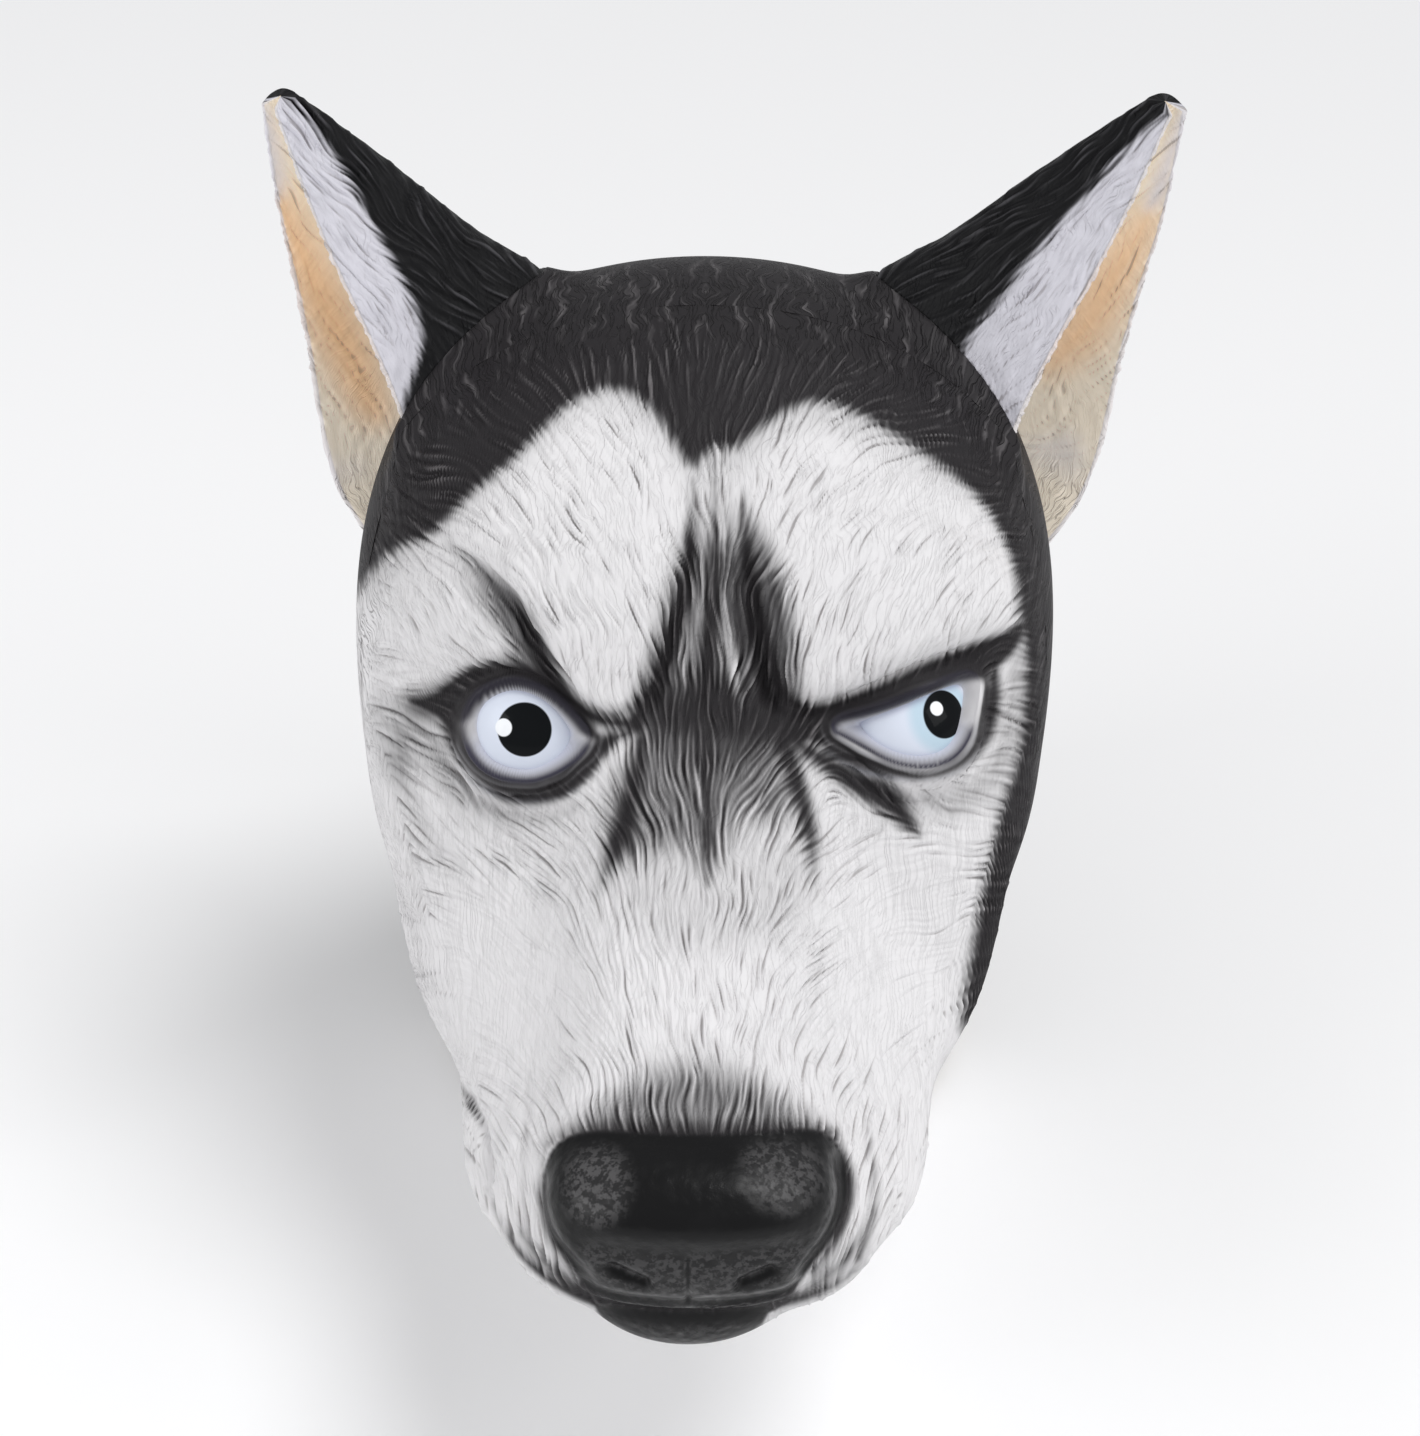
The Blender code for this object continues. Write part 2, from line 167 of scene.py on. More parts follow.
def spline(knots: np.ndarray, values: np.ndarray, places: np.ndarray) -> np.ndarray:
    """Natural cubic spline.

    Args:
        knots: Where the values are.
        values: One row for each knot.
        places: Where to read the curve.

    Returns:
        One row for each place.
    """
    knots, values, places = (np.asarray(a, float) for a in (knots, values, places))
    count = len(knots)
    step = np.diff(knots)
    rows = np.eye(count)
    right = np.zeros_like(values)
    for i in range(1, count - 1):
        rows[i, i - 1:i + 2] = step[i - 1], 2 * (step[i - 1] + step[i]), step[i]
        rise = (values[i + 1] - values[i]) / step[i] - (values[i] - values[i - 1]) / step[i - 1]
        right[i] = 6 * rise
    bend = np.linalg.solve(rows, right.reshape(count, -1)).reshape(values.shape)
    i = np.clip(np.searchsorted(knots, places) - 1, 0, count - 2)
    spread = (slice(None),) + (None,) * (values.ndim - 1)
    past, left = (places - knots[i])[spread], (knots[i + 1] - places)[spread]
    gap = step[i][spread]
    return ((bend[i] * left ** 3 + bend[i + 1] * past ** 3) / (6 * gap)
            + (values[i] / gap - bend[i] * gap / 6) * left
            + (values[i + 1] / gap - bend[i + 1] * gap / 6) * past)


def grid_normals(rings: np.ndarray, closed: bool) -> np.ndarray:
    """Unit normals of a grid of rings.

    Args:
        rings: Points, one row for each ring.
        closed: Whether each ring runs back to its start.

    Returns:
        A normal for each point, right-handed from across to along.
    """
    if closed:
        across = np.roll(rings, -1, axis=1) - np.roll(rings, 1, axis=1)
    else:
        across = np.gradient(rings, axis=1)
    normals = np.cross(across, np.gradient(rings, axis=0))
    return normals / (np.linalg.norm(normals, axis=-1, keepdims=True) + 1e-12)


@dataclass(frozen=True)
class PictureView:
    """The camera: where it stands, and how it sees the mask in a 1420 by 1436 picture."""

    width: float = 1420.0
    height: float = 1436.0
    target: Point = (0.0, -0.112, -0.0823)
    target_place: tuple[float, float] = (699.0, 705.0)
    azimuth: float = 1.0
    elevation: float = 35.0
    distance: float = 0.68
    focal: float = 2230.0

    def axes(self) -> tuple[np.ndarray, np.ndarray, np.ndarray]:
        """Right, up and back of the camera."""
        a, e = radians(self.azimuth), radians(self.elevation)
        back = np.array((sin(a) * cos(e), -cos(a) * cos(e), sin(e)))
        right = np.array((cos(a), sin(a), 0.0))
        return right, np.cross(back, right), back

    def position(self) -> np.ndarray:
        """Where the camera stands."""
        right, up, back = self.axes()
        across = (self.target_place[0] - self.width / 2) * self.distance / self.focal
        tall = (self.target_place[1] - self.height / 2) * self.distance / self.focal
        return np.array(self.target) + back * self.distance - right * across + up * tall

    def see(self, points: np.ndarray) -> tuple[np.ndarray, np.ndarray]:
        """Picture places of points, and the millimetres to a pixel there.

        Args:
            points: Points of the part.

        Returns:
            The picture places, and the scale at each.
        """
        right, up, back = self.axes()
        away = points - self.position()
        deep = -(away @ back)
        x = self.width / 2 + self.focal * (away @ right) / deep
        y = self.height / 2 - self.focal * (away @ up) / deep
        return np.stack([x, y], -1), deep / self.focal / MM

    def facing(self, points: np.ndarray, normals: np.ndarray) -> np.ndarray:
        """How squarely each point faces the camera, from -1 to 1."""
        away = self.position() - points
        away /= np.linalg.norm(away, axis=-1, keepdims=True)
        return (away * normals).sum(-1)

    def ball_hit(self, place: tuple[float, float], centre: np.ndarray,
                 radius: float) -> np.ndarray:
        """Direction from a ball's centre to where a picture place meets it.

        Args:
            place: Picture place.
            centre: Centre of the ball.
            radius: Radius of the ball.

        Returns:
            A unit direction.
        """
        right, up, back = self.axes()
        ray = right * (place[0] - self.width / 2) - up * (place[1] - self.height / 2)
        ray = ray - back * self.focal
        ray /= np.linalg.norm(ray)
        start = self.position() - centre
        half = start @ ray
        reach = -half - np.sqrt(max(half * half - start @ start + radius * radius, 0.0))
        hit = start + ray * reach
        return hit / np.linalg.norm(hit)

    def place_camera(self) -> None:
        """Make the camera and set it as the scene's."""
        data = bpy.data.cameras.new("front_camera")
        data.sensor_width = 36.0
        data.lens = self.focal * 36.0 / self.height
        data.clip_start, data.clip_end = 0.01, 60.0
        camera = bpy.data.objects.new("front_camera", data)
        right, up, back = (Vector(axis) for axis in self.axes())
        camera.matrix_world = Matrix((right, up, back)).transposed().to_4x4()
        camera.location = Vector(self.position())
        bpy.context.scene.collection.objects.link(camera)
        bpy.context.scene.camera = camera


@dataclass(frozen=True)
class Fold:
    """A line pressed into the skin, or raised where its depth is negative."""

    name: str
    half_width: float
    depth: float
    route: Pixels


@dataclass(frozen=True)
class Mound:
    """An area of the skin that stands proud."""

    name: str
    height: float
    shoulder: float
    outline: Pixels


@dataclass(frozen=True)
class Spray:
    """Dark paint over an area, or along a line where it has half-widths."""

    name: str
    strength: tuple[float, ...]
    softness: float
    half_width: tuple[float, ...]
    line: Pixels

    def cover(self, places: np.ndarray, scale: np.ndarray) -> np.ndarray:
        """How much paint lies at each place.

        Args:
            places: Picture places.
            scale: Millimetres to a pixel there.

        Returns:
            The cover at each place, from 0 to 1.
        """
        if not self.half_width:
            gap, share = outline_gap(places, self.line) * scale, np.zeros(len(places))
        else:
            gap, share = line_gap(places, self.line)
            gap = gap * scale - read_along(self.half_width, share)
        return smoothstep(self.softness, -self.softness, gap) * read_along(self.strength, share)


MOUNDS: tuple[Mound, ...] = (
    Mound("right_brow_tongue", 4.4, 6.0,
          ((500, 560), (540, 530), (610, 520), (670, 540), (678, 600), (662, 660), (645, 712),
           (610, 722), (575, 700), (552, 668), (535, 632), (515, 600))),
    Mound("right_outer_brow", 2.8, 6.0,
          ((400, 600), (440, 575), (480, 600), (515, 640), (528, 668), (490, 672), (440, 690),
           (405, 690), (390, 650))),
    Mound("left_brow", 5.0, 6.0,
          ((775, 560), (830, 520), (930, 520), (1000, 560), (1012, 618), (950, 640),
           (880, 668), (825, 697), (785, 700), (772, 640))),
    Mound("nose_top", 1.5, 6.0,
          ((560, 1160), (620, 1145), (700, 1148), (780, 1145), (825, 1165), (825, 1215),
           (760, 1235), (700, 1240), (620, 1235), (560, 1215))),
)

FOLDS: tuple[Fold, ...] = (
    Fold("furrow_right", 3.8, 5.4,
         ((694, 530), (684, 575), (672, 620), (662, 665), (650, 700), (636, 724))),
    Fold("furrow_left", 4.0, 6.0,
         ((742, 540), (750, 590), (760, 640), (768, 680), (786, 716))),
    Fold("frown_ridge", 2.4, -1.6, ((716, 560), (722, 620), (724, 690))),
    Fold("frown_line_right", 1.4, 1.2, ((708, 590), (706, 640), (700, 690))),
    Fold("frown_line_left", 1.4, 1.2, ((733, 600), (738, 645), (740, 700))),
    Fold("right_brow_fold", 3.2, 4.8,
         ((455, 548), (492, 581), (515, 605), (529, 630), (541, 652), (553, 674), (569, 698),
          (593, 716), (612, 724), (634, 726))),
    Fold("right_upper_lid", 1.8, 1.8,
         ((420, 706), (449, 684), (482, 668), (515, 668), (546, 688), (572, 712))),
    Fold("right_lower_rim", 1.4, 1.4,
         ((451, 723), (463, 749), (482, 772), (510, 785), (546, 784), (578, 764))),
    Fold("right_second_fold", 2.2, 1.8,
         ((428, 726), (446, 760), (470, 790), (500, 808), (540, 812), (575, 800))),
    Fold("right_outer_fold", 2.6, 1.2, ((392, 700), (402, 760), (428, 830), (462, 880))),
    Fold("left_brow_ledge", 3.0, 5.2,
         ((786, 712), (822, 710), (859, 699), (893, 686), (926, 671), (969, 655), (1005, 640))),
    Fold("left_lower_rim", 1.4, 1.5,
         ((824, 733), (850, 750), (880, 763), (910, 769), (940, 765), (970, 744), (986, 712))),
    Fold("left_second_fold", 2.0, 1.8,
         ((812, 742), (840, 766), (872, 784), (905, 796), (935, 792))),
    Fold("left_streak", 2.2, 1.4, ((840, 785), (872, 806), (900, 826), (920, 838))),
    Fold("right_bridge_streak", 2.4, 1.2, ((640, 748), (626, 800), (606, 850))),
    Fold("left_bridge_streak", 2.4, 1.2, ((788, 748), (806, 800), (824, 852))),
    Fold("cheek_line", 2.2, 1.6, ((386, 860), (402, 905), (428, 960))),
    Fold("nose_side_right", 2.6, 2.4,
         ((541, 1165), (533, 1195), (543, 1238), (568, 1266), (596, 1290))),
    Fold("nose_side_left", 2.8, 2.8,
         ((838, 1145), (850, 1175), (850, 1205), (838, 1240), (812, 1270), (794, 1294))),
    Fold("nostril_right", 1.6, 2.4, ((604, 1268), (628, 1278), (652, 1288))),
    Fold("nostril_left", 1.6, 2.4, ((736, 1287), (757, 1279), (780, 1270))),
    Fold("nose_ridge", 5.0, -1.0,
         ((575, 1222), (640, 1232), (700, 1234), (760, 1231), (815, 1218))),
    Fold("under_nose_ridge", 4.0, 1.2,
         ((570, 1245), (640, 1254), (700, 1256), (770, 1252), (822, 1240))),
    Fold("philtrum", 0.9, 0.9, ((688, 1256), (688, 1312))),
    Fold("upper_lip", 3.0, 2.2,
         ((487, 1190), (505, 1235), (540, 1275), (600, 1304), (680, 1312), (760, 1308),
          (830, 1290), (870, 1262), (886, 1225))),
    Fold("mouth_corner", 1.6, 3.0, ((461, 1085), (470, 1103), (483, 1125), (487, 1190))),
    Fold("whisker_fold_right", 1.8, 1.4, ((530, 1072), (521, 1150), (522, 1232), (556, 1276))),
    Fold("whisker_fold_left", 1.8, 1.4, ((862, 1120), (878, 1190), (860, 1256))),
    Fold("whisker_fold_outer", 1.6, 1.2, ((890, 1115), (903, 1180), (886, 1236))),
)

OPENINGS: dict[str, Pixels] = {
    "right_eye": ((469, 723), (477, 702), (494, 690), (515, 685), (539, 692), (558, 706),
                  (574, 723), (584, 737), (574, 753), (551, 768), (525, 776), (492, 768),
                  (474, 748)),
    "left_eye": ((836, 724), (872, 715), (904, 704), (926, 694), (948, 685), (971, 677),
                 (970, 694), (967, 715), (962, 737), (948, 754), (926, 760), (904, 758),
                 (885, 751), (867, 740), (850, 731)),
}

# Picture column between the eyes, and the picture row of the middle of each
EYE_DIVIDE: float = 700.0
EYE_ROWS: tuple[float, float] = (738.0, 722.0)

SPRAYS: tuple[Spray, ...] = (
    Spray("cap", (1.0,), 3.6, (),
          ((350, 606), (360, 585), (378, 560), (398, 545), (427, 538), (445, 520), (470, 492),
           (510, 462), (540, 430), (565, 405), (590, 390), (620, 386), (645, 400), (665, 425),
           (680, 450), (692, 468), (702, 455), (716, 444), (735, 448), (746, 438), (765, 423),
           (790, 406), (820, 398), (860, 412), (900, 437), (940, 463), (965, 484), (985, 505),
           (1004, 540), (1016, 575), (1019, 615), (1027, 650), (1025, 700), (1019, 760),
           (1004, 800), (990, 860), (976, 930), (964, 1000), (958, 1050), (1150, 1050),
           (1150, 0), (250, 0), (250, 606))),
    Spray("cap_haze", (0.30,), 9.0, (),
          ((350, 640), (400, 570), (470, 520), (540, 450), (590, 410), (640, 420), (690, 500),
           (745, 480), (800, 425), (880, 450), (960, 500), (1150, 500), (1150, 0), (250, 0))),
    Spray("furrow_right", (0.35, 0.95, 1.0, 1.0, 0.95), 2.6, (0.6, 1.6, 2.2, 2.6, 2.2),
          ((692, 480), (691, 540), (684, 595), (670, 645), (656, 692), (636, 724))),
    Spray("furrow_left", (0.3, 0.9, 1.0, 1.0, 1.0), 2.8, (0.6, 2.0, 3.0, 3.6, 4.2),
          ((744, 490), (746, 545), (752, 600), (762, 650), (774, 696), (796, 722))),
    Spray("furrow_left_shade", (0.0, 0.55, 0.7, 0.6, 0.4), 5.0, (1.0, 2.6, 3.6, 4.0, 3.0),
          ((748, 500), (762, 550), (776, 600), (784, 650), (794, 695))),
    Spray("furrow_right_shade", (0.0, 0.35, 0.5, 0.5), 4.0, (1.0, 2.0, 2.4, 2.4),
          ((686, 520), (672, 590), (655, 650), (636, 704))),
    Spray("frown_line_mid", (0.25, 0.5, 0.7, 0.85), 1.8, (0.6, 1.0, 1.4, 2.0),
          ((716, 450), (716, 540), (712, 620), (706, 700))),
    Spray("frown_line_left", (0.2, 0.5, 0.7), 1.4, (0.5, 0.9, 1.4),
          ((732, 540), (737, 620), (742, 704))),
    Spray("frown_haze", (0.42,), 9.0, (),
          ((690, 500), (752, 500), (790, 590), (806, 700), (780, 720), (650, 720), (664, 620))),
    Spray("frown_patch", (0.56,), 6.5, (),
          ((694, 545), (744, 545), (764, 640), (788, 712), (806, 736), (770, 760),
           (735, 770), (700, 775), (655, 760), (626, 733), (655, 700), (676, 640))),
    Spray("frown_root", (0.78,), 6.5, (),
          ((650, 690), (700, 680), (770, 690), (820, 730), (770, 748), (700, 742), (640, 736))),
    Spray("bridge_haze", (0.26,), 10.0, (),
          ((606, 770), (700, 760), (812, 765), (832, 880), (800, 940), (720, 965), (650, 955),
           (598, 890))),
    Spray("bridge_fan", (0.52,), 7.0, (),
          ((618, 742), (700, 745), (800, 740), (800, 790), (770, 830), (745, 800), (708, 880),
           (680, 840), (640, 860), (612, 860), (600, 830))),
    Spray("bridge_streak_right", (0.8, 0.85, 0.85, 0.3), 3.2, (1.6, 2.6, 3.2, 1.6),
          ((640, 742), (636, 780), (622, 835), (598, 890))),
    Spray("bridge_streak_left", (0.9, 0.85, 0.8, 0.2), 2.8, (2.0, 2.6, 2.6, 1.2),
          ((782, 742), (796, 780), (810, 832), (814, 882))),
    Spray("bridge_centre", (0.7, 0.6, 0.75, 0.5), 2.0, (1.4, 1.2, 1.2, 0.6),
          ((704, 735), (707, 790), (708, 840), (709, 884))),
    Spray("right_brow_fold", (0.25, 0.55, 0.85, 0.98, 0.98, 0.9), 2.6,
          (2.0, 2.4, 2.4, 2.2, 1.8, 1.4),
          ((450, 545), (488, 577), (518, 606), (536, 640), (552, 674), (572, 706),
           (604, 722), (634, 724))),
    Spray("right_brow_shade", (0.0, 0.3, 0.6, 0.72, 0.5), 4.6, (2.0, 4.0, 4.6, 4.4, 2.0),
          ((430, 545), (470, 582), (508, 618), (528, 650), (546, 684))),
    # Painted shade: grey under the lower tip of the right brow's tongue.
    Spray("right_tongue_tip", (0.35, 0.5, 0.35), 3.4, (1.4, 2.0, 1.4),
          ((584, 704), (615, 718), (645, 700))),
    Spray("right_upper_lid", (0.98,), 2.0, (),
          ((404, 700), (432, 698), (449, 682), (476, 666), (508, 661), (540, 671), (562, 692),
           (590, 720), (604, 742), (584, 737), (572, 722), (556, 706), (538, 693), (515, 687),
           (495, 692), (478, 704), (468, 722), (450, 722), (430, 712))),
    Spray("right_lid_soft", (0.5,), 4.5, (),
          ((395, 690), (440, 680), (480, 655), (520, 652), (556, 668), (580, 700), (560, 700),
           (520, 682), (480, 690), (450, 716), (420, 716))),
    Spray("right_under_eye", (0.92,), 3.0, (),
          ((440, 712), (462, 716), (470, 745), (486, 768), (525, 782), (556, 776), (582, 756),
           (592, 738), (640, 728), (606, 750), (594, 775), (566, 798), (515, 806), (485, 790),
           (460, 765), (444, 735))),
    Spray("right_under_dark", (0.0, 0.7, 0.95, 0.9, 0.6), 3.0, (1.0, 2.0, 3.0, 2.4, 1.4),
          ((478, 780), (515, 794), (556, 790), (586, 764), (612, 736))),
    Spray("right_eye_shade", (0.40,), 6.0, (),
          ((390, 700), (440, 700), (452, 750), (486, 800), (540, 818), (590, 796), (566, 826),
           (505, 830), (455, 806), (414, 760))),
    Spray("right_outer_grey", (0.30,), 6.0, (),
          ((362, 690), (400, 690), (420, 740), (408, 790), (372, 780))),
    Spray("cheek_shade", (0.3, 0.34, 0.26, 0.1), 6.0, (2.5, 3.0, 3.5, 2.5),
          ((398, 745), (406, 795), (432, 850), (480, 900))),
    Spray("left_upper_lid", (0.97,), 2.2, (),
          ((764, 690), (790, 706), (822, 705), (859, 692), (893, 679), (915, 667), (937, 658),
           (969, 645), (1002, 632), (1026, 620), (1018, 648), (998, 668), (984, 680),
           (970, 679), (948, 687), (926, 696), (904, 706), (872, 717), (838, 725), (832, 736),
           (800, 742), (770, 728))),
    Spray("left_lid_corner", (0.9, 1.0, 0.9, 0.5), 1.8, (0.8, 1.8, 1.8, 0.8),
          ((818, 728), (846, 752), (880, 768), (920, 776))),
    Spray("left_lid_end", (0.7, 0.95, 0.6), 1.6, (0.6, 1.4, 1.0),
          ((984, 672), (988, 700), (976, 740))),
    Spray("left_under_eye", (0.88,), 2.4, (),
          ((800, 728), (826, 726), (850, 748), (876, 762), (908, 771), (938, 769), (968, 748),
           (984, 712), (987, 676), (998, 664), (1002, 700), (992, 742), (964, 770),
           (925, 782), (880, 774), (840, 762))),
    Spray("left_streaks", (0.9,), 3.6, (),
          ((790, 735), (824, 748), (858, 770), (894, 779), (926, 838), (906, 832), (882, 813),
           (853, 796), (824, 774), (798, 753))),
    Spray("left_eye_shade", (0.36,), 6.0, (),
          ((880, 785), (940, 790), (990, 765), (1004, 690), (1022, 640), (1018, 740),
           (996, 800), (950, 830), (915, 812))),
    Spray("side_shade", (0.22,), 6.0, (),
          ((1012, 560), (1030, 640), (1024, 760), (996, 860), (966, 1010), (950, 1010),
           (975, 880), (1000, 780), (1010, 660))),
    Spray("nose", (1.0,), 1.0, (),
          ((542, 1198), (545, 1165), (558, 1141), (590, 1131), (640, 1133), (700, 1135),
           (770, 1132), (815, 1129), (836, 1141), (848, 1170), (846, 1205), (832, 1238),
           (808, 1268), (792, 1294), (740, 1306), (688, 1309), (630, 1306), (590, 1292),
           (572, 1264), (550, 1236))),
    Spray("above_nose", (0.50,), 6.5, (),
          ((620, 1088), (690, 1066), (745, 1080), (800, 1108), (835, 1132), (820, 1145),
           (560, 1145), (552, 1132), (590, 1112))),
    Spray("above_nose_haze", (0.26,), 8.0, (),
          ((640, 1050), (700, 1036), (760, 1058), (800, 1100), (830, 1130), (560, 1132),
           (610, 1090))),
    Spray("nose_fringe", (0.3, 0.8, 0.85, 0.8, 0.85, 0.6), 3.6, (1.2, 2.0, 2.4, 2.0, 2.0, 1.4),
          ((548, 1142), (590, 1131), (650, 1131), (700, 1132), (770, 1130), (832, 1134))),
    Spray("nose_gap_left", (0.5, 0.95, 0.95, 0.7), 2.4, (0.8, 1.6, 1.6, 1.0),
          ((834, 1132), (848, 1162), (850, 1198), (838, 1236), (814, 1270))),
    Spray("nose_gap_right", (0.4, 0.7, 0.8), 2.2, (0.6, 1.2, 1.2),
          ((546, 1146), (538, 1186), (545, 1232), (568, 1264), (596, 1290))),
    Spray("under_nose", (0.97,), 0.9, (),
          ((574, 1278), (600, 1290), (640, 1299), (688, 1303), (740, 1299), (780, 1288),
           (800, 1276), (790, 1304), (740, 1322), (640, 1322), (592, 1306))),
    Spray("upper_lip_shade", (0.3, 0.7, 0.8), 2.6, (1.0, 1.6, 1.6),
          ((523, 1236), (552, 1272), (588, 1296), (640, 1308))),
    Spray("lip_streaks_right", (0.25, 0.55, 0.6, 0.3), 3.0, (0.8, 1.6, 1.8, 1.0),
          ((508, 1215), (536, 1254), (572, 1284), (610, 1300))),
    Spray("lip_streaks_left", (0.4, 0.62, 0.6, 0.35), 3.2, (1.2, 2.2, 2.4, 1.2),
          ((778, 1302), (816, 1286), (850, 1256), (874, 1214))),
    Spray("mouth_line", (0.4, 0.85, 0.9, 0.95, 0.95, 0.8, 0.4), 1.8,
          (0.6, 1.0, 1.4, 1.6, 1.6, 1.2, 0.6),
          ((487, 1188), (505, 1235), (540, 1276), (600, 1305), (680, 1312), (760, 1308),
           (830, 1290), (868, 1262))),
    Spray("lower_lip", (1.0,), 1.2, (),
          ((590, 1300), (640, 1309), (688, 1312), (740, 1309), (774, 1300), (762, 1326),
           (735, 1344), (690, 1354), (645, 1349), (610, 1328))),
    Spray("mouth_corner", (0.4, 0.95, 0.6), 1.4, (0.6, 1.3, 0.6),
          ((459, 1083), (470, 1102), (485, 1126))),
    Spray("whisker_fold_right", (0.3, 0.3, 0.35), 2.4, (0.8,),
          ((530, 1072), (522, 1150), (524, 1230))),
    Spray("whisker_fold_left", (0.3, 0.5, 0.5), 2.4, (0.8, 1.4, 1.0),
          ((866, 1120), (879, 1195), (860, 1258))),
)

# Light lilac bands along the lower lids' rims: the lids' lilac tint with a painted highlight on the
# rim folds.
LILAC_AND_HIGHLIGHT_SPRAYS: tuple[Spray, ...] = (
    Spray("right_under_rim", (0.2, 0.6, 0.6, 0.3), 1.6, (0.8,),
          ((470, 780), (500, 796), (540, 800), (575, 788))),
    Spray("left_under_rim", (0.3, 0.7, 0.7, 0.2), 1.4, (0.8,),
          ((828, 752), (850, 766), (880, 776), (915, 779))),
)

# Lighter speckles on the nose and the lower lip: painted sheen where light catches the rough
# leather, partly wear on the nose's front.
NOSE_SHEEN_AND_WEAR_SPRAYS: tuple[Spray, ...] = (
    Spray("nose_right", (1.0,), 4.0, (),
          ((566, 1160), (600, 1146), (626, 1160), (630, 1200), (600, 1232), (566, 1212))),
    Spray("nose_left", (0.85,), 4.0, (),
          ((740, 1150), (780, 1142), (816, 1150), (822, 1190), (790, 1216), (752, 1196))),
    Spray("nose_front", (0.62,), 3.0, (),
          ((572, 1240), (640, 1254), (740, 1254), (816, 1236), (790, 1280), (735, 1298),
           (688, 1302), (640, 1298), (592, 1284))),
    Spray("nose_rim_left", (0.0, 0.6, 0.6, 0.3), 1.6, (0.7,),
          ((824, 1140), (837, 1172), (834, 1204), (812, 1244))),
    Spray("lip_shine", (0.35,), 2.2, (),
          ((620, 1322), (680, 1328), (745, 1322), (730, 1334), (688, 1340), (640, 1336))),
)

# Painted highlights: the dark paint is lightened along the raised frown ridges
RIDGE_HIGHLIGHT_SPRAYS: tuple[Spray, ...] = (
    Spray("frown_ridge_left", (0.1, 0.45, 0.5, 0.2), 2.4, (0.6, 1.4, 2.0, 1.2),
          ((722, 590), (727, 635), (735, 675), (742, 704))),
    Spray("frown_ridge_right", (0.1, 0.25, 0.25, 0.1), 2.4, (0.6, 1.6, 1.8, 1.2),
          ((702, 570), (697, 620), (686, 665), (676, 700))),
)

# Places kept free of the nose's sheen: the nostrils, the philtrum and a band of painted shade below
# the nose's ridge.
NOSTRILS: tuple[Spray, ...] = (
    Spray("nostril_right", (1.0,), 0.9, (0.9, 1.3, 0.8), ((604, 1268), (628, 1278), (652, 1288))),
    Spray("nostril_left", (1.0,), 0.9, (0.8, 1.3, 0.9), ((736, 1287), (757, 1279), (780, 1270))),
    Spray("philtrum", (1.0,), 0.5, (0.4,), ((688, 1262), (688, 1310))),
    Spray("nose_crease", (0.9,), 1.6, (1.0,),
          ((566, 1226), (600, 1238), (640, 1243), (700, 1245), (760, 1241), (820, 1222))),
)

GLOSSY: tuple[str, ...] = ("nose", "lower_lip")

EAR_BLACK: tuple[Spray, ...] = (
    Spray("right_ear_black", (1.0,), 3.4, (),
          ((268, 92), (291, 100), (335, 156), (366, 214), (394, 266), (420, 318), (422, 349),
           (409, 382), (398, 424), (470, 440), (640, 330), (560, 180), (330, 60), (280, 60))),
    Spray("left_ear_black", (1.0,), 3.4, (),
          ((1192, 84), (1179, 104), (1152, 126), (1122, 156), (1088, 194), (1052, 234),
           (1026, 264), (994, 308), (966, 342), (958, 374), (980, 408), (1002, 440),
           (930, 460), (800, 330), (900, 180), (1100, 60), (1190, 60))),
)

EAR_TAN: tuple[Spray, ...] = (
    Spray("right_ear_tan", (0.95,), 9.0, (),
          ((270, 185), (290, 196), (322, 250), (350, 298), (380, 366), (392, 424), (360, 424),
           (329, 372), (303, 320), (282, 262))),
    Spray("left_ear_tan", (0.8,), 9.0, (),
          ((1124, 226), (1152, 205), (1158, 228), (1134, 290), (1106, 342), (1073, 368),
           (1040, 378), (1044, 344), (1070, 302), (1094, 262))),
)

EAR_PALE: tuple[Spray, ...] = (
    Spray("left_ear_foot", (0.5,), 6.0, (),
          ((1010, 450), (1040, 440), (1085, 430), (1080, 560), (1020, 560))),
    Spray("right_ear_foot", (0.7,), 6.0, (),
          ((300, 420), (330, 470), (372, 460), (372, 560), (300, 540))),
    Spray("right_ear_tip_inside", (0.8,), 4.0, (),
          ((250, 100), (275, 110), (290, 190), (270, 200), (252, 170))),
    Spray("left_ear_tip_inside", (0.9,), 4.0, (),
          ((1190, 90), (1170, 200), (1140, 215), (1160, 160))),
)

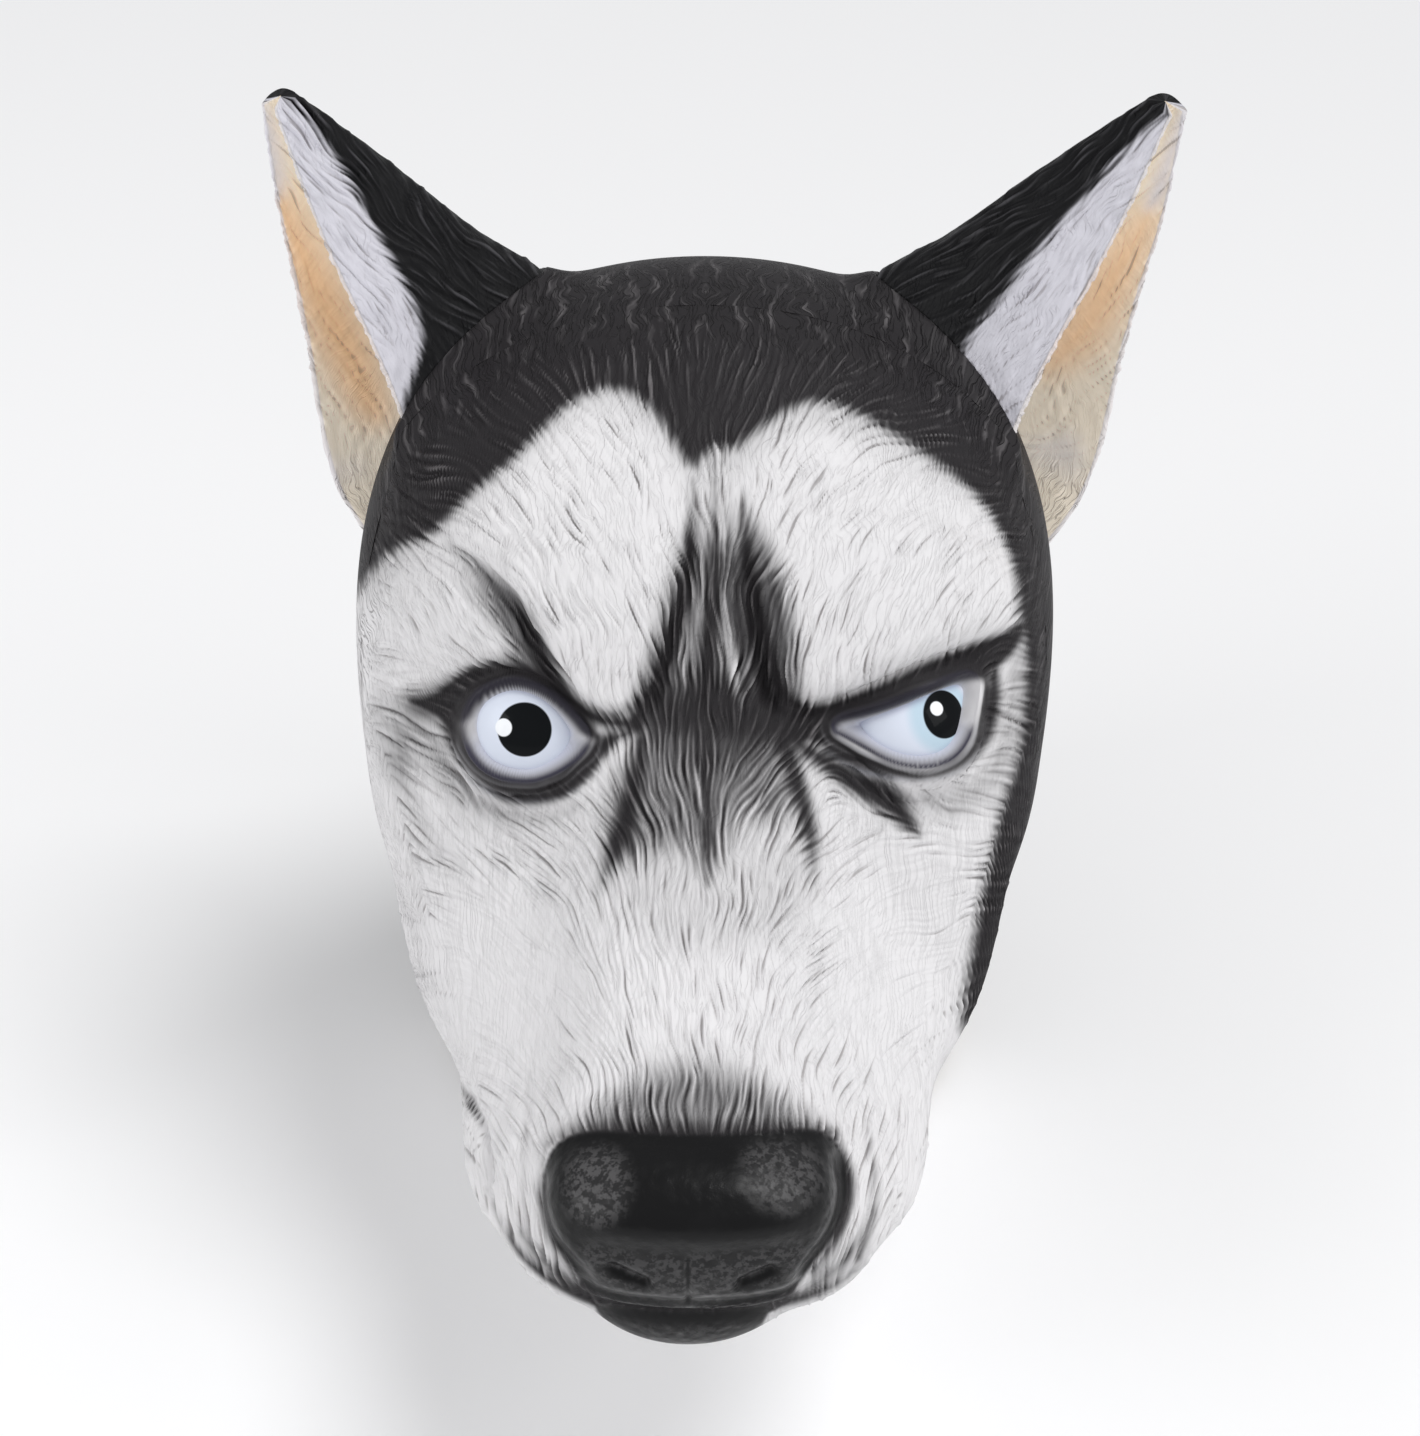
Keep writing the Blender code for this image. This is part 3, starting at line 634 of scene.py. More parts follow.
# Picture places, and the way the fur is combed there, in degrees left round from rightwards.
COMBS: tuple[tuple[float, float, float], ...] = (
    (700, 300, 90), (640, 330, 97), (760, 330, 83), (600, 360, 108), (560, 400, 125),
    (500, 440, 150), (430, 470, 168), (370, 500, 168), (370, 580, 150), (640, 420, 130),
    (600, 480, 124), (520, 500, 131), (560, 600, 113), (600, 680, 101), (540, 640, 117),
    (660, 560, 108), (690, 600, 94), (700, 450, 90), (715, 520, 90), (480, 580, 140),
    (430, 620, 128), (400, 560, 132), (372, 660, 176), (470, 640, 120), (500, 665, 150),
    (420, 700, 165), (380, 740, 150), (430, 780, 142), (480, 830, 146), (700, 700, 90),
    (650, 760, 100), (600, 800, 133), (570, 790, 140), (640, 800, 108), (680, 800, 96),
    (708, 850, 90), (560, 830, 138), (520, 850, 136), (560, 880, 122), (600, 900, 114),
    (640, 950, 100), (500, 950, 150), (460, 900, 165), (440, 980, 178), (560, 980, 130),
    (600, 1020, 116), (540, 1080, 124), (640, 1060, 94), (700, 1000, 91), (480, 1060, 150),
    (600, 1100, 97), (700, 1100, 90), (800, 1100, 84), (500, 1160, 110), (480, 1200, 115),
    (715, 480, 90), (760, 470, 66), (800, 460, 50), (850, 520, 45), (900, 500, 38),
    (950, 540, 48), (780, 560, 72), (850, 600, 66), (930, 610, 60), (980, 570, 45),
    (850, 670, 87), (930, 640, 74), (990, 605, 52), (800, 640, 80), (900, 430, -5),
    (850, 400, 30), (960, 470, 0), (1005, 480, 8), (1030, 540, -20), (1035, 650, -10),
    (1030, 750, -20), (800, 370, 60), (760, 400, 76), (740, 780, 66), (760, 850, 74),
    (740, 900, 88), (800, 800, 45), (830, 830, 42), (860, 860, 34), (850, 900, 42),
    (800, 900, 60), (800, 950, 56), (850, 960, 42), (900, 930, 8), (920, 850, 5),
    (960, 800, -12), (930, 790, -48), (880, 775, -45), (850, 785, -40), (985, 740, 0),
    (740, 950, 93), (740, 1020, 89), (800, 1040, 78), (850, 1060, 64), (900, 1020, 46),
    (940, 960, 20), (880, 1120, 74), (910, 1180, 80), (690, 1330, -90),
    (280, 120, 128), (330, 180, 132), (380, 240, 138), (430, 280, 142), (480, 300, 142),
    (350, 250, 126), (390, 320, 122), (410, 370, 112), (300, 250, 118), (330, 330, 122),
    (360, 400, 128), (320, 430, 120), (340, 480, 124), (1160, 120, 40), (1100, 170, 40),
    (1040, 220, 40), (980, 270, 40), (920, 310, 36), (1080, 240, 46), (1030, 310, 46),
    (990, 370, 44), (1110, 270, 58), (1080, 330, 52), (1060, 380, 48), (1050, 420, 40),
    (1040, 460, 10), (1050, 500, -8),
)

CALM_CHEEKS: tuple[Pixels, ...] = (
    ((430, 900), (520, 890), (580, 960), (560, 1080), (470, 1060)),
    ((870, 860), (960, 840), (950, 960), (900, 1080), (840, 1040), (850, 920)),
    ((560, 780), (600, 760), (566, 815), (500, 815), (470, 790), (520, 800)),
)


@dataclass(frozen=True)
class CombedFur:
    """The face's moulded hairs: streaks drawn along the way that the fur is combed."""

    low: tuple[int, int] = (240, 70)
    high: tuple[int, int] = (1200, 1360)
    steps: int = 19
    stride: float = 1.3
    seed: int = 12

    def field(self, places: np.ndarray) -> np.ndarray:
        """Unit directions of the fur at picture places, blended from the nearest combs."""
        combs = np.array(COMBS, float)
        turn = np.radians(combs[:, 2])
        ways = np.stack([np.cos(turn), -np.sin(turn)], 1)
        total = np.zeros(places.shape)
        for (x, y, _), way in zip(combs, ways):
            away = (places[..., 0] - x) ** 2 + (places[..., 1] - y) ** 2
            total += way / (away[..., None] + 120.0) ** 1.6
        return total / (np.linalg.norm(total, axis=-1, keepdims=True) + 1e-12)

    @lru_cache(maxsize=2)
    def streaks(self) -> np.ndarray:
        """Draw the streaks.

        Returns:
            A picture of heights, about 0 on average and 1 in spread.
        """
        wide, tall = self.high[0] - self.low[0], self.high[1] - self.low[1]
        rng = np.random.default_rng(self.seed)
        grain = rng.standard_normal((tall, wide)).astype(np.float32)
        grain = self.blur(grain, 1, 1)
        rough = np.stack(np.meshgrid(np.arange(0, wide, 6), np.arange(0, tall, 6)), -1)
        ways = self.field(rough + np.array(self.low, float))
        ways = ways.repeat(6, axis=0)[:tall].repeat(6, axis=1)[:, :wide]
        wander = soft_noise(*np.meshgrid(np.arange(wide) / 34, np.arange(tall) / 34), 5) - 0.5
        swing = soft_noise(*np.meshgrid(np.arange(wide) / 13, np.arange(tall) / 13), 6) - 0.5
        turn = wander * 0.7 + swing * 0.35
        ways = np.stack([ways[..., 0] * np.cos(turn) - ways[..., 1] * np.sin(turn),
                         ways[..., 0] * np.sin(turn) + ways[..., 1] * np.cos(turn)], -1)
        start = np.stack(np.meshgrid(np.arange(wide), np.arange(tall)), -1).astype(np.float32)
        drawn = grain.copy()
        for sign in (-1.0, 1.0):
            spot = start.copy()
            for step in range(1, self.steps + 1):
                i = np.clip(spot[..., 1].astype(int), 0, tall - 1)
                j = np.clip(spot[..., 0].astype(int), 0, wide - 1)
                spot = spot + sign * self.stride * ways[i, j]
                drawn += self.read(grain, spot) * cos(step / (self.steps + 1) * pi / 2)
        drawn -= self.blur(drawn, 3, 3)
        patchy = soft_noise(*np.meshgrid(np.arange(wide) / 24, np.arange(tall) / 24), 7)
        drawn *= 0.55 + 0.9 * patchy
        return drawn / drawn.std()

    @staticmethod
    def blur(picture: np.ndarray, reach: int, passes: int) -> np.ndarray:
        """Soften a picture over a reach of dots, as often as asked."""
        for _ in range(passes):
            for axis in (0, 1):
                sides = np.roll(picture, reach, axis) + np.roll(picture, -reach, axis)
                picture = (2 * picture + sides) / 4
        return picture

    @staticmethod
    def read(picture: np.ndarray, places: np.ndarray) -> np.ndarray:
        """Read a picture between its dots."""
        x = np.clip(places[..., 0], 0, picture.shape[1] - 1.001)
        y = np.clip(places[..., 1], 0, picture.shape[0] - 1.001)
        i, j = y.astype(int), x.astype(int)
        u, v = y - i, x - j
        top = picture[i, j] * (1 - v) + picture[i, j + 1] * v
        low = picture[i + 1, j] * (1 - v) + picture[i + 1, j + 1] * v
        return top * (1 - u) + low * u

    def sample(self, places: np.ndarray) -> np.ndarray:
        """Height of the streaks at picture places, quieter on the cheeks."""
        high = self.read(self.streaks(), places - np.array(self.low, float))
        calm = np.zeros(len(places))
        for area in CALM_CHEEKS:
            calm = np.maximum(calm, smoothstep(30.0, -20.0, outline_gap(places, area)))
        return high * (1 - 0.62 * calm)


@dataclass(frozen=True)
class MaskForm:
    """Named sizes of the mask and its smooth outer form, which are those of the solid."""

    head_width: float = 0.230
    head_height: float = 0.233
    face_reach: float = 0.112
    back_reach: float = 0.110
    neck_length: float = 0.070
    muzzle_length: float = 0.138
    muzzle_width: float = 0.140
    ear_height: float = 0.068
    wall: float = 0.0022
    ear_wall: float = 0.0026
    ear_tip_wall: float = 0.0018
    eye_radius: float = 0.023
    eye_wall: float = 0.0025
    lid_wall: float = 0.0025
    fit_gap: float = 0.0003
    swell_blend: float = 0.35
    lid_blend: float = 0.25
    width_levels: tuple[float, ...] = (0.12, 0.32, 0.52, 0.72, 0.90)
    # Top forward, top down, bottom forward, bottom down, five half-widths, muzzle.
    sections: tuple[tuple[float, ...], ...] = (
        (-1.00, 1.78, 0.80, 2.03, 0.56, 0.81, 0.87, 0.81, 0.56, 0),
        (-0.97, 0.87, 0.76, 1.56, 0.57, 0.81, 0.86, 0.80, 0.56, 0),
        (-1.00, 0.55, 0.79, 1.22, 0.62, 0.88, 0.92, 0.86, 0.60, 0),
        (-0.88, 0.26, 0.86, 1.10, 0.71, 0.96, 0.98, 0.91, 0.63, 0),
        (-0.54, 0.05, 0.94, 1.06, 0.78, 1.00, 1.01, 0.93, 0.61, 0),
        (-0.05, -0.01, 1.02, 1.03, 0.76, 0.98, 1.00, 0.90, 0.58, 0),
        (0.45, 0.06, 1.09, 1.00, 0.65, 0.79, 0.89, 0.85, 0.57, 0),
        (0.83, 0.21, 1.17, 1.00, 0.41, 0.53, 0.76, 0.81, 0.57, 0),
        (1.00, 0.35, 1.28, 1.00, 0.27, 0.43, 0.64, 0.73, 0.51, 0),
        (1.19, 0.43, 1.41, 0.99, 0.41, 0.66, 0.93, 1.07, 0.76, 1),
        (1.44, 0.51, 1.55, 0.99, 0.42, 0.62, 0.85, 1.02, 0.72, 1),
        (1.66, 0.57, 1.70, 0.98, 0.45, 0.62, 0.81, 0.91, 0.56, 1),
        (1.83, 0.63, 1.82, 0.97, 0.46, 0.60, 0.74, 0.68, 0.38, 1),
        (1.95, 0.70, 1.90, 0.945, 0.36, 0.48, 0.55, 0.46, 0.25, 1),
        (1.98, 0.81, 1.98, 0.815, 0.003, 0.005, 0.006, 0.005, 0.003, 1),
    )
    # Across, forward, down, half across, half along, half tall, power.
    swells: tuple[tuple[float, ...], ...] = (
        (-0.62, 0.40, 0.31, 0.66, 0.70, 0.60, 2.0),
        (0.66, 0.42, 0.35, 0.74, 0.74, 0.56, 2.0),
        (-0.90, 0.55, 0.64, 0.58, 0.66, 0.55, 2.0),
        (0.90, 0.55, 0.64, 0.58, 0.66, 0.55, 2.0),
        (-0.42, 1.67, 0.81, 0.38, 0.50, 0.36, 2.2),
        (0.42, 1.67, 0.81, 0.38, 0.50, 0.36, 2.2),
        (-0.03, 1.78, 0.92, 0.44, 0.31, 0.26, 2.0),
        (0.00, 1.86, 0.74, 0.60, 0.38, 0.36, 2.8),
    )
    # Across, back and up of the near rim, the medial ridge, the back ridge and the far rim.
    ear_sections: tuple[tuple[float, ...], ...] = (
        (0.76, -0.20, -1.25, 0.36, 0.20, -0.80, 0.60, 0.28, -1.45, 0.91, 0.04, -1.62),
        (0.79, -0.22, -0.98, 0.40, 0.26, -0.48, 0.67, 0.37, -1.12, 1.06, 0.10, -1.36),
        (0.82, -0.22, -0.74, 0.44, 0.29, -0.27, 0.73, 0.42, -0.84, 1.16, 0.17, -1.03),
        (0.86, -0.19, -0.49, 0.50, 0.31, -0.07, 0.80, 0.47, -0.51, 1.20, 0.23, -0.60),
        (0.94, -0.13, -0.16, 0.64, 0.27, 0.12, 0.90, 0.45, -0.18, 1.22, 0.23, -0.28),
        (1.05, -0.05, 0.21, 0.79, 0.20, 0.37, 0.99, 0.38, 0.18, 1.24, 0.22, 0.03),
        (1.13, 0.00, 0.53, 0.96, 0.17, 0.63, 1.10, 0.29, 0.53, 1.255, 0.18, 0.35),
        (1.21, 0.06, 0.90, 1.165, 0.10, 0.95, 1.21, 0.13, 0.96, 1.26, 0.11, 0.91),
    )
    # Across, forward and down of each eye's centre.
    eye_places: tuple[tuple[str, float, float, float], ...] = (
        ("right_eye", -0.465, 0.81, 0.452),
        ("left_eye", 0.560, 0.78, 0.450),
    )

    def forward(self, share: np.ndarray) -> np.ndarray:
        """Distance ahead of the origin for a forward share."""
        share = np.asarray(share, float)
        ahead = np.clip(share, 0, 1) * self.face_reach
        ahead = ahead + np.maximum(share - 1, 0) * self.muzzle_length
        return np.where(share < 0, share * self.back_reach, ahead)

    def down(self, share: np.ndarray) -> np.ndarray:
        """Distance below the origin for a down share."""
        share = np.asarray(share, float)
        return np.minimum(share, 1) * self.head_height + np.maximum(
            share - 1, 0) * self.neck_length

    def eye_centre(self, name: str) -> np.ndarray:
        """Centre of one eye's ball."""
        row = next(row for row in self.eye_places if row[0] == name)
        return np.array((row[1] * self.head_width / 2, -float(self.forward(row[2])),
                         -float(self.down(row[3]))))

    def plain_rings(self, stations: np.ndarray, rounds: np.ndarray) -> np.ndarray:
        """Rings of the loft before its lumps and folds.

        Args:
            stations: Places along the loft, in sections.
            rounds: Places round each ring, from -0.5 to 0.5 with 0 at the top.

        Returns:
            A ring of points for each station.
        """
        table = np.array(self.sections, float)
        muzzle = table[:, 9:]
        half = (self.head_width * (1 - muzzle) + self.muzzle_width * muzzle) / 2
        sizes = np.column_stack([
            self.forward(table[:, 0]), self.down(table[:, 1]), self.forward(table[:, 2]),
            self.down(table[:, 3]), table[:, 4:9] * half])
        sizes = spline(np.arange(len(sizes)), sizes, stations)
        levels = np.array((0,) + self.width_levels + (1,))
        rings = np.zeros((len(sizes), len(rounds), 3))
        for ring, size in zip(rings, sizes):
            top = np.array((0, -size[0], -size[1]))
            bottom = np.array((0, -size[2], -size[3]))
            length = np.linalg.norm(bottom - top) + 1e-9
            side = np.stack([np.r_[0, size[4:9], 0], levels * length], 1)
            outline = np.concatenate([side, side[-2:0:-1] * [-1, 1]])
            outline = np.concatenate([outline[-3:], outline, outline[:4]])
            run = np.r_[0, np.cumsum(np.linalg.norm(np.diff(outline, axis=0), axis=1))]
            places = run[3] + (run[-4] - run[3]) * (np.asarray(rounds) % 1.0)
            curve = spline(run, outline, places)
            ring[:] = top + curve[:, 1:] * (bottom - top) / length
            ring[:, 0] += curve[:, 0]
        return rings

    def swell(self, points: np.ndarray) -> np.ndarray:
        """Push points out of the form's lumps, with a soft shoulder round each."""
        points = points.copy()
        for across, ahead, low, *halves, power in self.swells:
            centre = np.array((across * self.muzzle_width / 2, -float(self.forward(ahead)),
                               -float(self.down(low))))
            halves = np.array(halves) * self.muzzle_width / 2
            reach = points - centre
            level = (np.abs(reach / halves) ** power).sum(-1) ** (1 / power)
            level = np.maximum(level, 0.05)
            shoulder = np.maximum(self.swell_blend - np.abs(level - 1), 0) / self.swell_blend
            raised = np.maximum(level, 1) + shoulder ** 2 * self.swell_blend / 4
            points = centre + reach * (raised / level)[..., None]
        return points

    def wrap_lids(self, points: np.ndarray) -> np.ndarray:
        """Push points out of a ball round each eye, so that the lids wrap it."""
        lid = self.eye_radius + self.fit_gap + self.lid_wall
        for row in self.eye_places:
            centre = self.eye_centre(row[0])
            reach = points - centre
            level = np.linalg.norm(reach, axis=-1) / lid
            shoulder = np.maximum(self.lid_blend - np.abs(level - 1), 0) / self.lid_blend
            raised = np.maximum(level, 1) + shoulder ** 2 * self.lid_blend / 4
            points = centre + reach * (raised / level)[..., None]
        return points

    def smooth_rings(self, stations: np.ndarray, rounds: np.ndarray) -> np.ndarray:
        """Rings of the smooth outer form with its lumps."""
        return self.swell(self.plain_rings(stations, rounds))


def make_mesh(name: str, points: np.ndarray, faces: np.ndarray,
              normals: np.ndarray | None) -> bpy.types.Object:
    """Make a smooth mesh object of four-sided faces.

    Args:
        name: Name of the object.
        points: Its points.
        faces: Four point numbers to a face.
        normals: Shading normals of the points, or None for the mesh's own.

    Returns:
        The object, linked to the scene.
    """
    mesh = bpy.data.meshes.new(name)
    mesh.vertices.add(len(points))
    mesh.vertices.foreach_set("co", points.astype(np.float32).ravel())
    mesh.loops.add(faces.size)
    mesh.loops.foreach_set("vertex_index", faces.astype(np.int32).ravel())
    mesh.polygons.add(len(faces))
    mesh.polygons.foreach_set("loop_start", np.arange(0, faces.size, 4, dtype=np.int32))
    mesh.update(calc_edges=True)
    mesh.shade_smooth()
    if normals is not None:
        mesh.normals_split_custom_set_from_vertices(normals.tolist())
    thing = bpy.data.objects.new(name, mesh)
    bpy.context.scene.collection.objects.link(thing)
    return thing


def grid_faces(levels: int, around: int, closed: bool) -> np.ndarray:
    """Four-sided faces of a grid of points.

    Args:
        levels: Number of rings.
        around: Number of points in a ring.
        closed: Whether each ring runs back to its start.

    Returns:
        Four point numbers to a face.
    """
    i = np.arange(around if closed else around - 1)
    j = (i + 1) % around
    low = (np.arange(levels - 1) * around)[:, None]
    high = low + around
    return np.stack([low + j, low + i, high + i, high + j], -1).reshape(-1, 4)


def add_mask(thing: bpy.types.Object, name: str, values: np.ndarray) -> None:
    """Store a number for each point of an object.

    Args:
        thing: The object.
        name: Name of the mask.
        values: A number for each point.
    """
    mask = thing.data.attributes.new(name, "FLOAT", "POINT")
    mask.data.foreach_set("value", np.asarray(values, np.float32).ravel())


def add_flow(thing: bpy.types.Object, flow: np.ndarray) -> None:
    """Store each point's place along and across the fur, in millimetres."""
    layer = thing.data.attributes.new("fur_flow", "FLOAT_VECTOR", "POINT")
    layer.data.foreach_set("vector", flow.astype(np.float32).ravel())


class Bench:
    """Short ways to add and join the nodes of one tree."""

    def __init__(self, tree: bpy.types.NodeTree) -> None:
        """Work on one node tree."""
        self.tree = tree
        self.column = 0

    def add(self, kind: str, **settings: object) -> bpy.types.Node:
        """Add a node and set its properties."""
        node = self.tree.nodes.new(kind)
        self.column += 1
        node.location = (180 * (self.column % 12), -220 * (self.column // 12))
        for key, value in settings.items():
            setattr(node, key, value)
        return node

    def feed(self, socket: bpy.types.NodeSocket, value: object) -> None:
        """Join a socket, or set it where the value is a number, vector or colour."""
        if isinstance(value, bpy.types.NodeSocket):
            self.tree.links.new(value, socket)
        else:
            socket.default_value = value

    def sum(self, operation: str, a: object, b: object = 0.0,
            clamp: bool = False) -> bpy.types.NodeSocket:
        """One step of arithmetic."""
        node = self.add("ShaderNodeMath", operation=operation, use_clamp=clamp)
        self.feed(node.inputs[0], a)
        self.feed(node.inputs[1], b)
        return node.outputs[0]

    def step(self, value: object, low: float, high: float, start: float = 0.0,
             end: float = 1.0) -> bpy.types.NodeSocket:
        """Soft step of a value from start at low to end at high."""
        node = self.add("ShaderNodeMapRange", interpolation_type="SMOOTHSTEP")
        for i, given in enumerate((value, low, high, start, end)):
            self.feed(node.inputs[i], given)
        return node.outputs[0]

    def mix(self, share: object, a: object, b: object,
            blend: str = "MIX") -> bpy.types.NodeSocket:
        """Blend of two colours."""
        node = self.add("ShaderNodeMix", data_type="RGBA", blend_type=blend)
        self.feed(node.inputs[0], share)
        self.feed(node.inputs[6], a)
        self.feed(node.inputs[7], b)
        return node.outputs[2]

    def noise(self, place: object, scale: float, detail: float = 2.0,
              roughness: float = 0.5) -> bpy.types.NodeSocket:
        """Noise from 0 to 1 at a place."""
        node = self.add("ShaderNodeTexNoise")
        self.feed(node.inputs["Vector"], place)
        node.inputs["Scale"].default_value = scale
        node.inputs["Detail"].default_value = detail
        node.inputs["Roughness"].default_value = roughness
        return node.outputs["Fac"]

    def vector(self, x: object, y: object, z: object = 0.0) -> bpy.types.NodeSocket:
        """Vector of three values."""
        node = self.add("ShaderNodeCombineXYZ")
        for i, given in enumerate((x, y, z)):
            self.feed(node.inputs[i], given)
        return node.outputs[0]

    def combed_tuft(self, strand: Wire, tuft: Wire, combed: Wire) -> Wire:
        """Height of the tufts from 0 to 1: the combed hairs' own where the fur is combed.

        Args:
            strand: Height of the combed hairs, about 0 on average.
            tuft: Height of the tufts elsewhere.
            combed: Share of the combed hairs.

        Returns:
            The blended height.
        """
        lean = self.sum("MULTIPLY", self.sum("SUBTRACT", tuft, 0.5),
                        self.sum("SUBTRACT", 1.0, combed))
        high = self.sum("MULTIPLY_ADD", strand, 0.13)
        high.node.inputs[2].default_value = 0.5
        return self.sum("ADD", high, lean)

    def mask(self, name: str, output: str = "Fac") -> bpy.types.NodeSocket:
        """A number or vector stored on the mesh."""
        return self.add("ShaderNodeAttribute", attribute_name=name).outputs[output]

    def place(self) -> bpy.types.NodeSocket:
        """Place on the object."""
        return self.add("ShaderNodeTexCoord").outputs["Object"]

    def group(self, tree: bpy.types.NodeTree, **given: object) -> bpy.types.Node:
        """Place a node group and feed its inputs by name."""
        node = self.add("ShaderNodeGroup", node_tree=tree)
        for key, value in given.items():
            self.feed(node.inputs[key.replace("_", " ").capitalize()], value)
        return node


class Socket(Enum):
    """Kinds of a node group's sockets."""

    NUMBER = "NodeSocketFloat"
    PLACE = "NodeSocketVector"
    COLOUR = "NodeSocketColor"


def new_group(name: str, inputs: dict[str, Socket],
              outputs: dict[str, Socket]) -> tuple[Bench, bpy.types.Node, bpy.types.Node]:
    """Start a node group with named inputs and outputs.

    Args:
        name: Name of the group.
        inputs: Its inputs.
        outputs: Its outputs.

    Returns:
        A bench on the group, its input node and its output node.
    """
    tree = bpy.data.node_groups.new(name, "ShaderNodeTree")
    for key, kind in inputs.items():
        tree.interface.new_socket(name=key, in_out="INPUT", socket_type=kind.value)
    for key, kind in outputs.items():
        tree.interface.new_socket(name=key, in_out="OUTPUT", socket_type=kind.value)
    bench = Bench(tree)
    return bench, bench.add("NodeGroupInput"), bench.add("NodeGroupOutput")


class MouldedFur:
    """Hair grooves cast into the latex, as a node group shared by the skin and the ears."""

    def __init__(self) -> None:
        """Build the group once."""
        bench, given, made = new_group(
            "Moulded fur",
            {"Flow": Socket.PLACE, "Place": Socket.PLACE, "Spacing": Socket.NUMBER,
             "Length": Socket.NUMBER, "Cover": Socket.NUMBER},
            {"Groove": Socket.NUMBER, "Height": Socket.NUMBER, "Tuft": Socket.NUMBER})
        parts = bench.add("ShaderNodeSeparateXYZ")
        bench.feed(parts.inputs[0], given.outputs["Flow"])
        bend = bench.sum("SUBTRACT", bench.noise(given.outputs["Place"], 55.0, 1.0), 0.5)
        across = bench.sum("MULTIPLY_ADD", bend, 13.0)
        bench.feed(across.node.inputs[2], parts.outputs[1])
        curl = bench.sum("SUBTRACT", bench.noise(given.outputs["Place"], 210.0, 1.0), 0.5)
        across2 = bench.sum("MULTIPLY_ADD", curl, 2.6)
        bench.feed(across2.node.inputs[2], across)
        along = bench.sum("DIVIDE", parts.outputs[0], given.outputs["Length"])
        wide = bench.sum("DIVIDE", across2, given.outputs["Spacing"])
        long_hair = bench.noise(bench.vector(along, wide, 0.0), 1.0, 1.0)
        fine_along = bench.sum("MULTIPLY", along, 1.7)
        fine_wide = bench.sum("MULTIPLY", wide, 2.1)
        fine_hair = bench.noise(bench.vector(fine_along, fine_wide, 7.3), 1.0, 0.5)
        lines = []
        for hair, width in ((long_hair, 0.030), (fine_hair, 0.045)):
            off = bench.sum("ABSOLUTE", bench.sum("SUBTRACT", hair, 0.5))
            lines.append(bench.step(off, 0.0, width, 1.0, 0.0))
        patch_along = bench.sum("MULTIPLY", along, 0.9)
        patch_wide = bench.sum("MULTIPLY", wide, 0.55)
        patch = bench.noise(bench.vector(patch_along, patch_wide, 3.1), 1.0, 1.0)
        keep = bench.step(patch, 0.40, 0.56)
        sparse = bench.sum("MULTIPLY", lines[0], keep)
        other = bench.step(patch, 0.60, 0.46)
        fine = bench.sum("MULTIPLY", bench.sum("MULTIPLY", lines[1], other), 0.75)
        groove = bench.sum("MULTIPLY", bench.sum("MAXIMUM", sparse, fine),
                           given.outputs["Cover"])
        tuft = bench.noise(bench.vector(bench.sum("MULTIPLY", along, 0.8),
                                        bench.sum("MULTIPLY", wide, 0.9), 11.0), 1.0, 2.0)
        swell = bench.sum("MULTIPLY", bench.sum("SUBTRACT", tuft, 0.5), 0.9)
        height = bench.sum("SUBTRACT", bench.sum("MULTIPLY", swell, given.outputs["Cover"]),
                           groove)
        bench.feed(made.inputs["Groove"], groove)
        bench.feed(made.inputs["Height"], height)
        bench.feed(made.inputs["Tuft"], tuft)
        self.tree = bench.tree


class LatexSkin:
    """Pores and slight waves of cast latex, as a node group for every latex surface."""

    def __init__(self) -> None:
        """Build the group once."""
        bench, given, made = new_group(
            "Cast latex", {"Place": Socket.PLACE},
            {"Pores": Socket.NUMBER, "Waves": Socket.NUMBER, "Mottle": Socket.NUMBER})
        place = given.outputs["Place"]
        bench.feed(made.inputs["Pores"], bench.noise(place, 900.0, 2.0, 0.6))
        bench.feed(made.inputs["Waves"], bench.noise(place, 90.0, 2.0))
        bench.feed(made.inputs["Mottle"], bench.noise(place, 26.0, 3.0, 0.6))
        self.tree = bench.tree


def new_material(name: str) -> tuple[bpy.types.Material, Bench, bpy.types.Node]:
    """Start a material.

    Args:
        name: Name of the material.

    Returns:
        The material, a bench on its tree, and its shader.
    """
    material = bpy.data.materials.new(name)
    material.use_nodes = True
    shader = material.node_tree.nodes["Principled BSDF"]
    return material, Bench(material.node_tree), shader


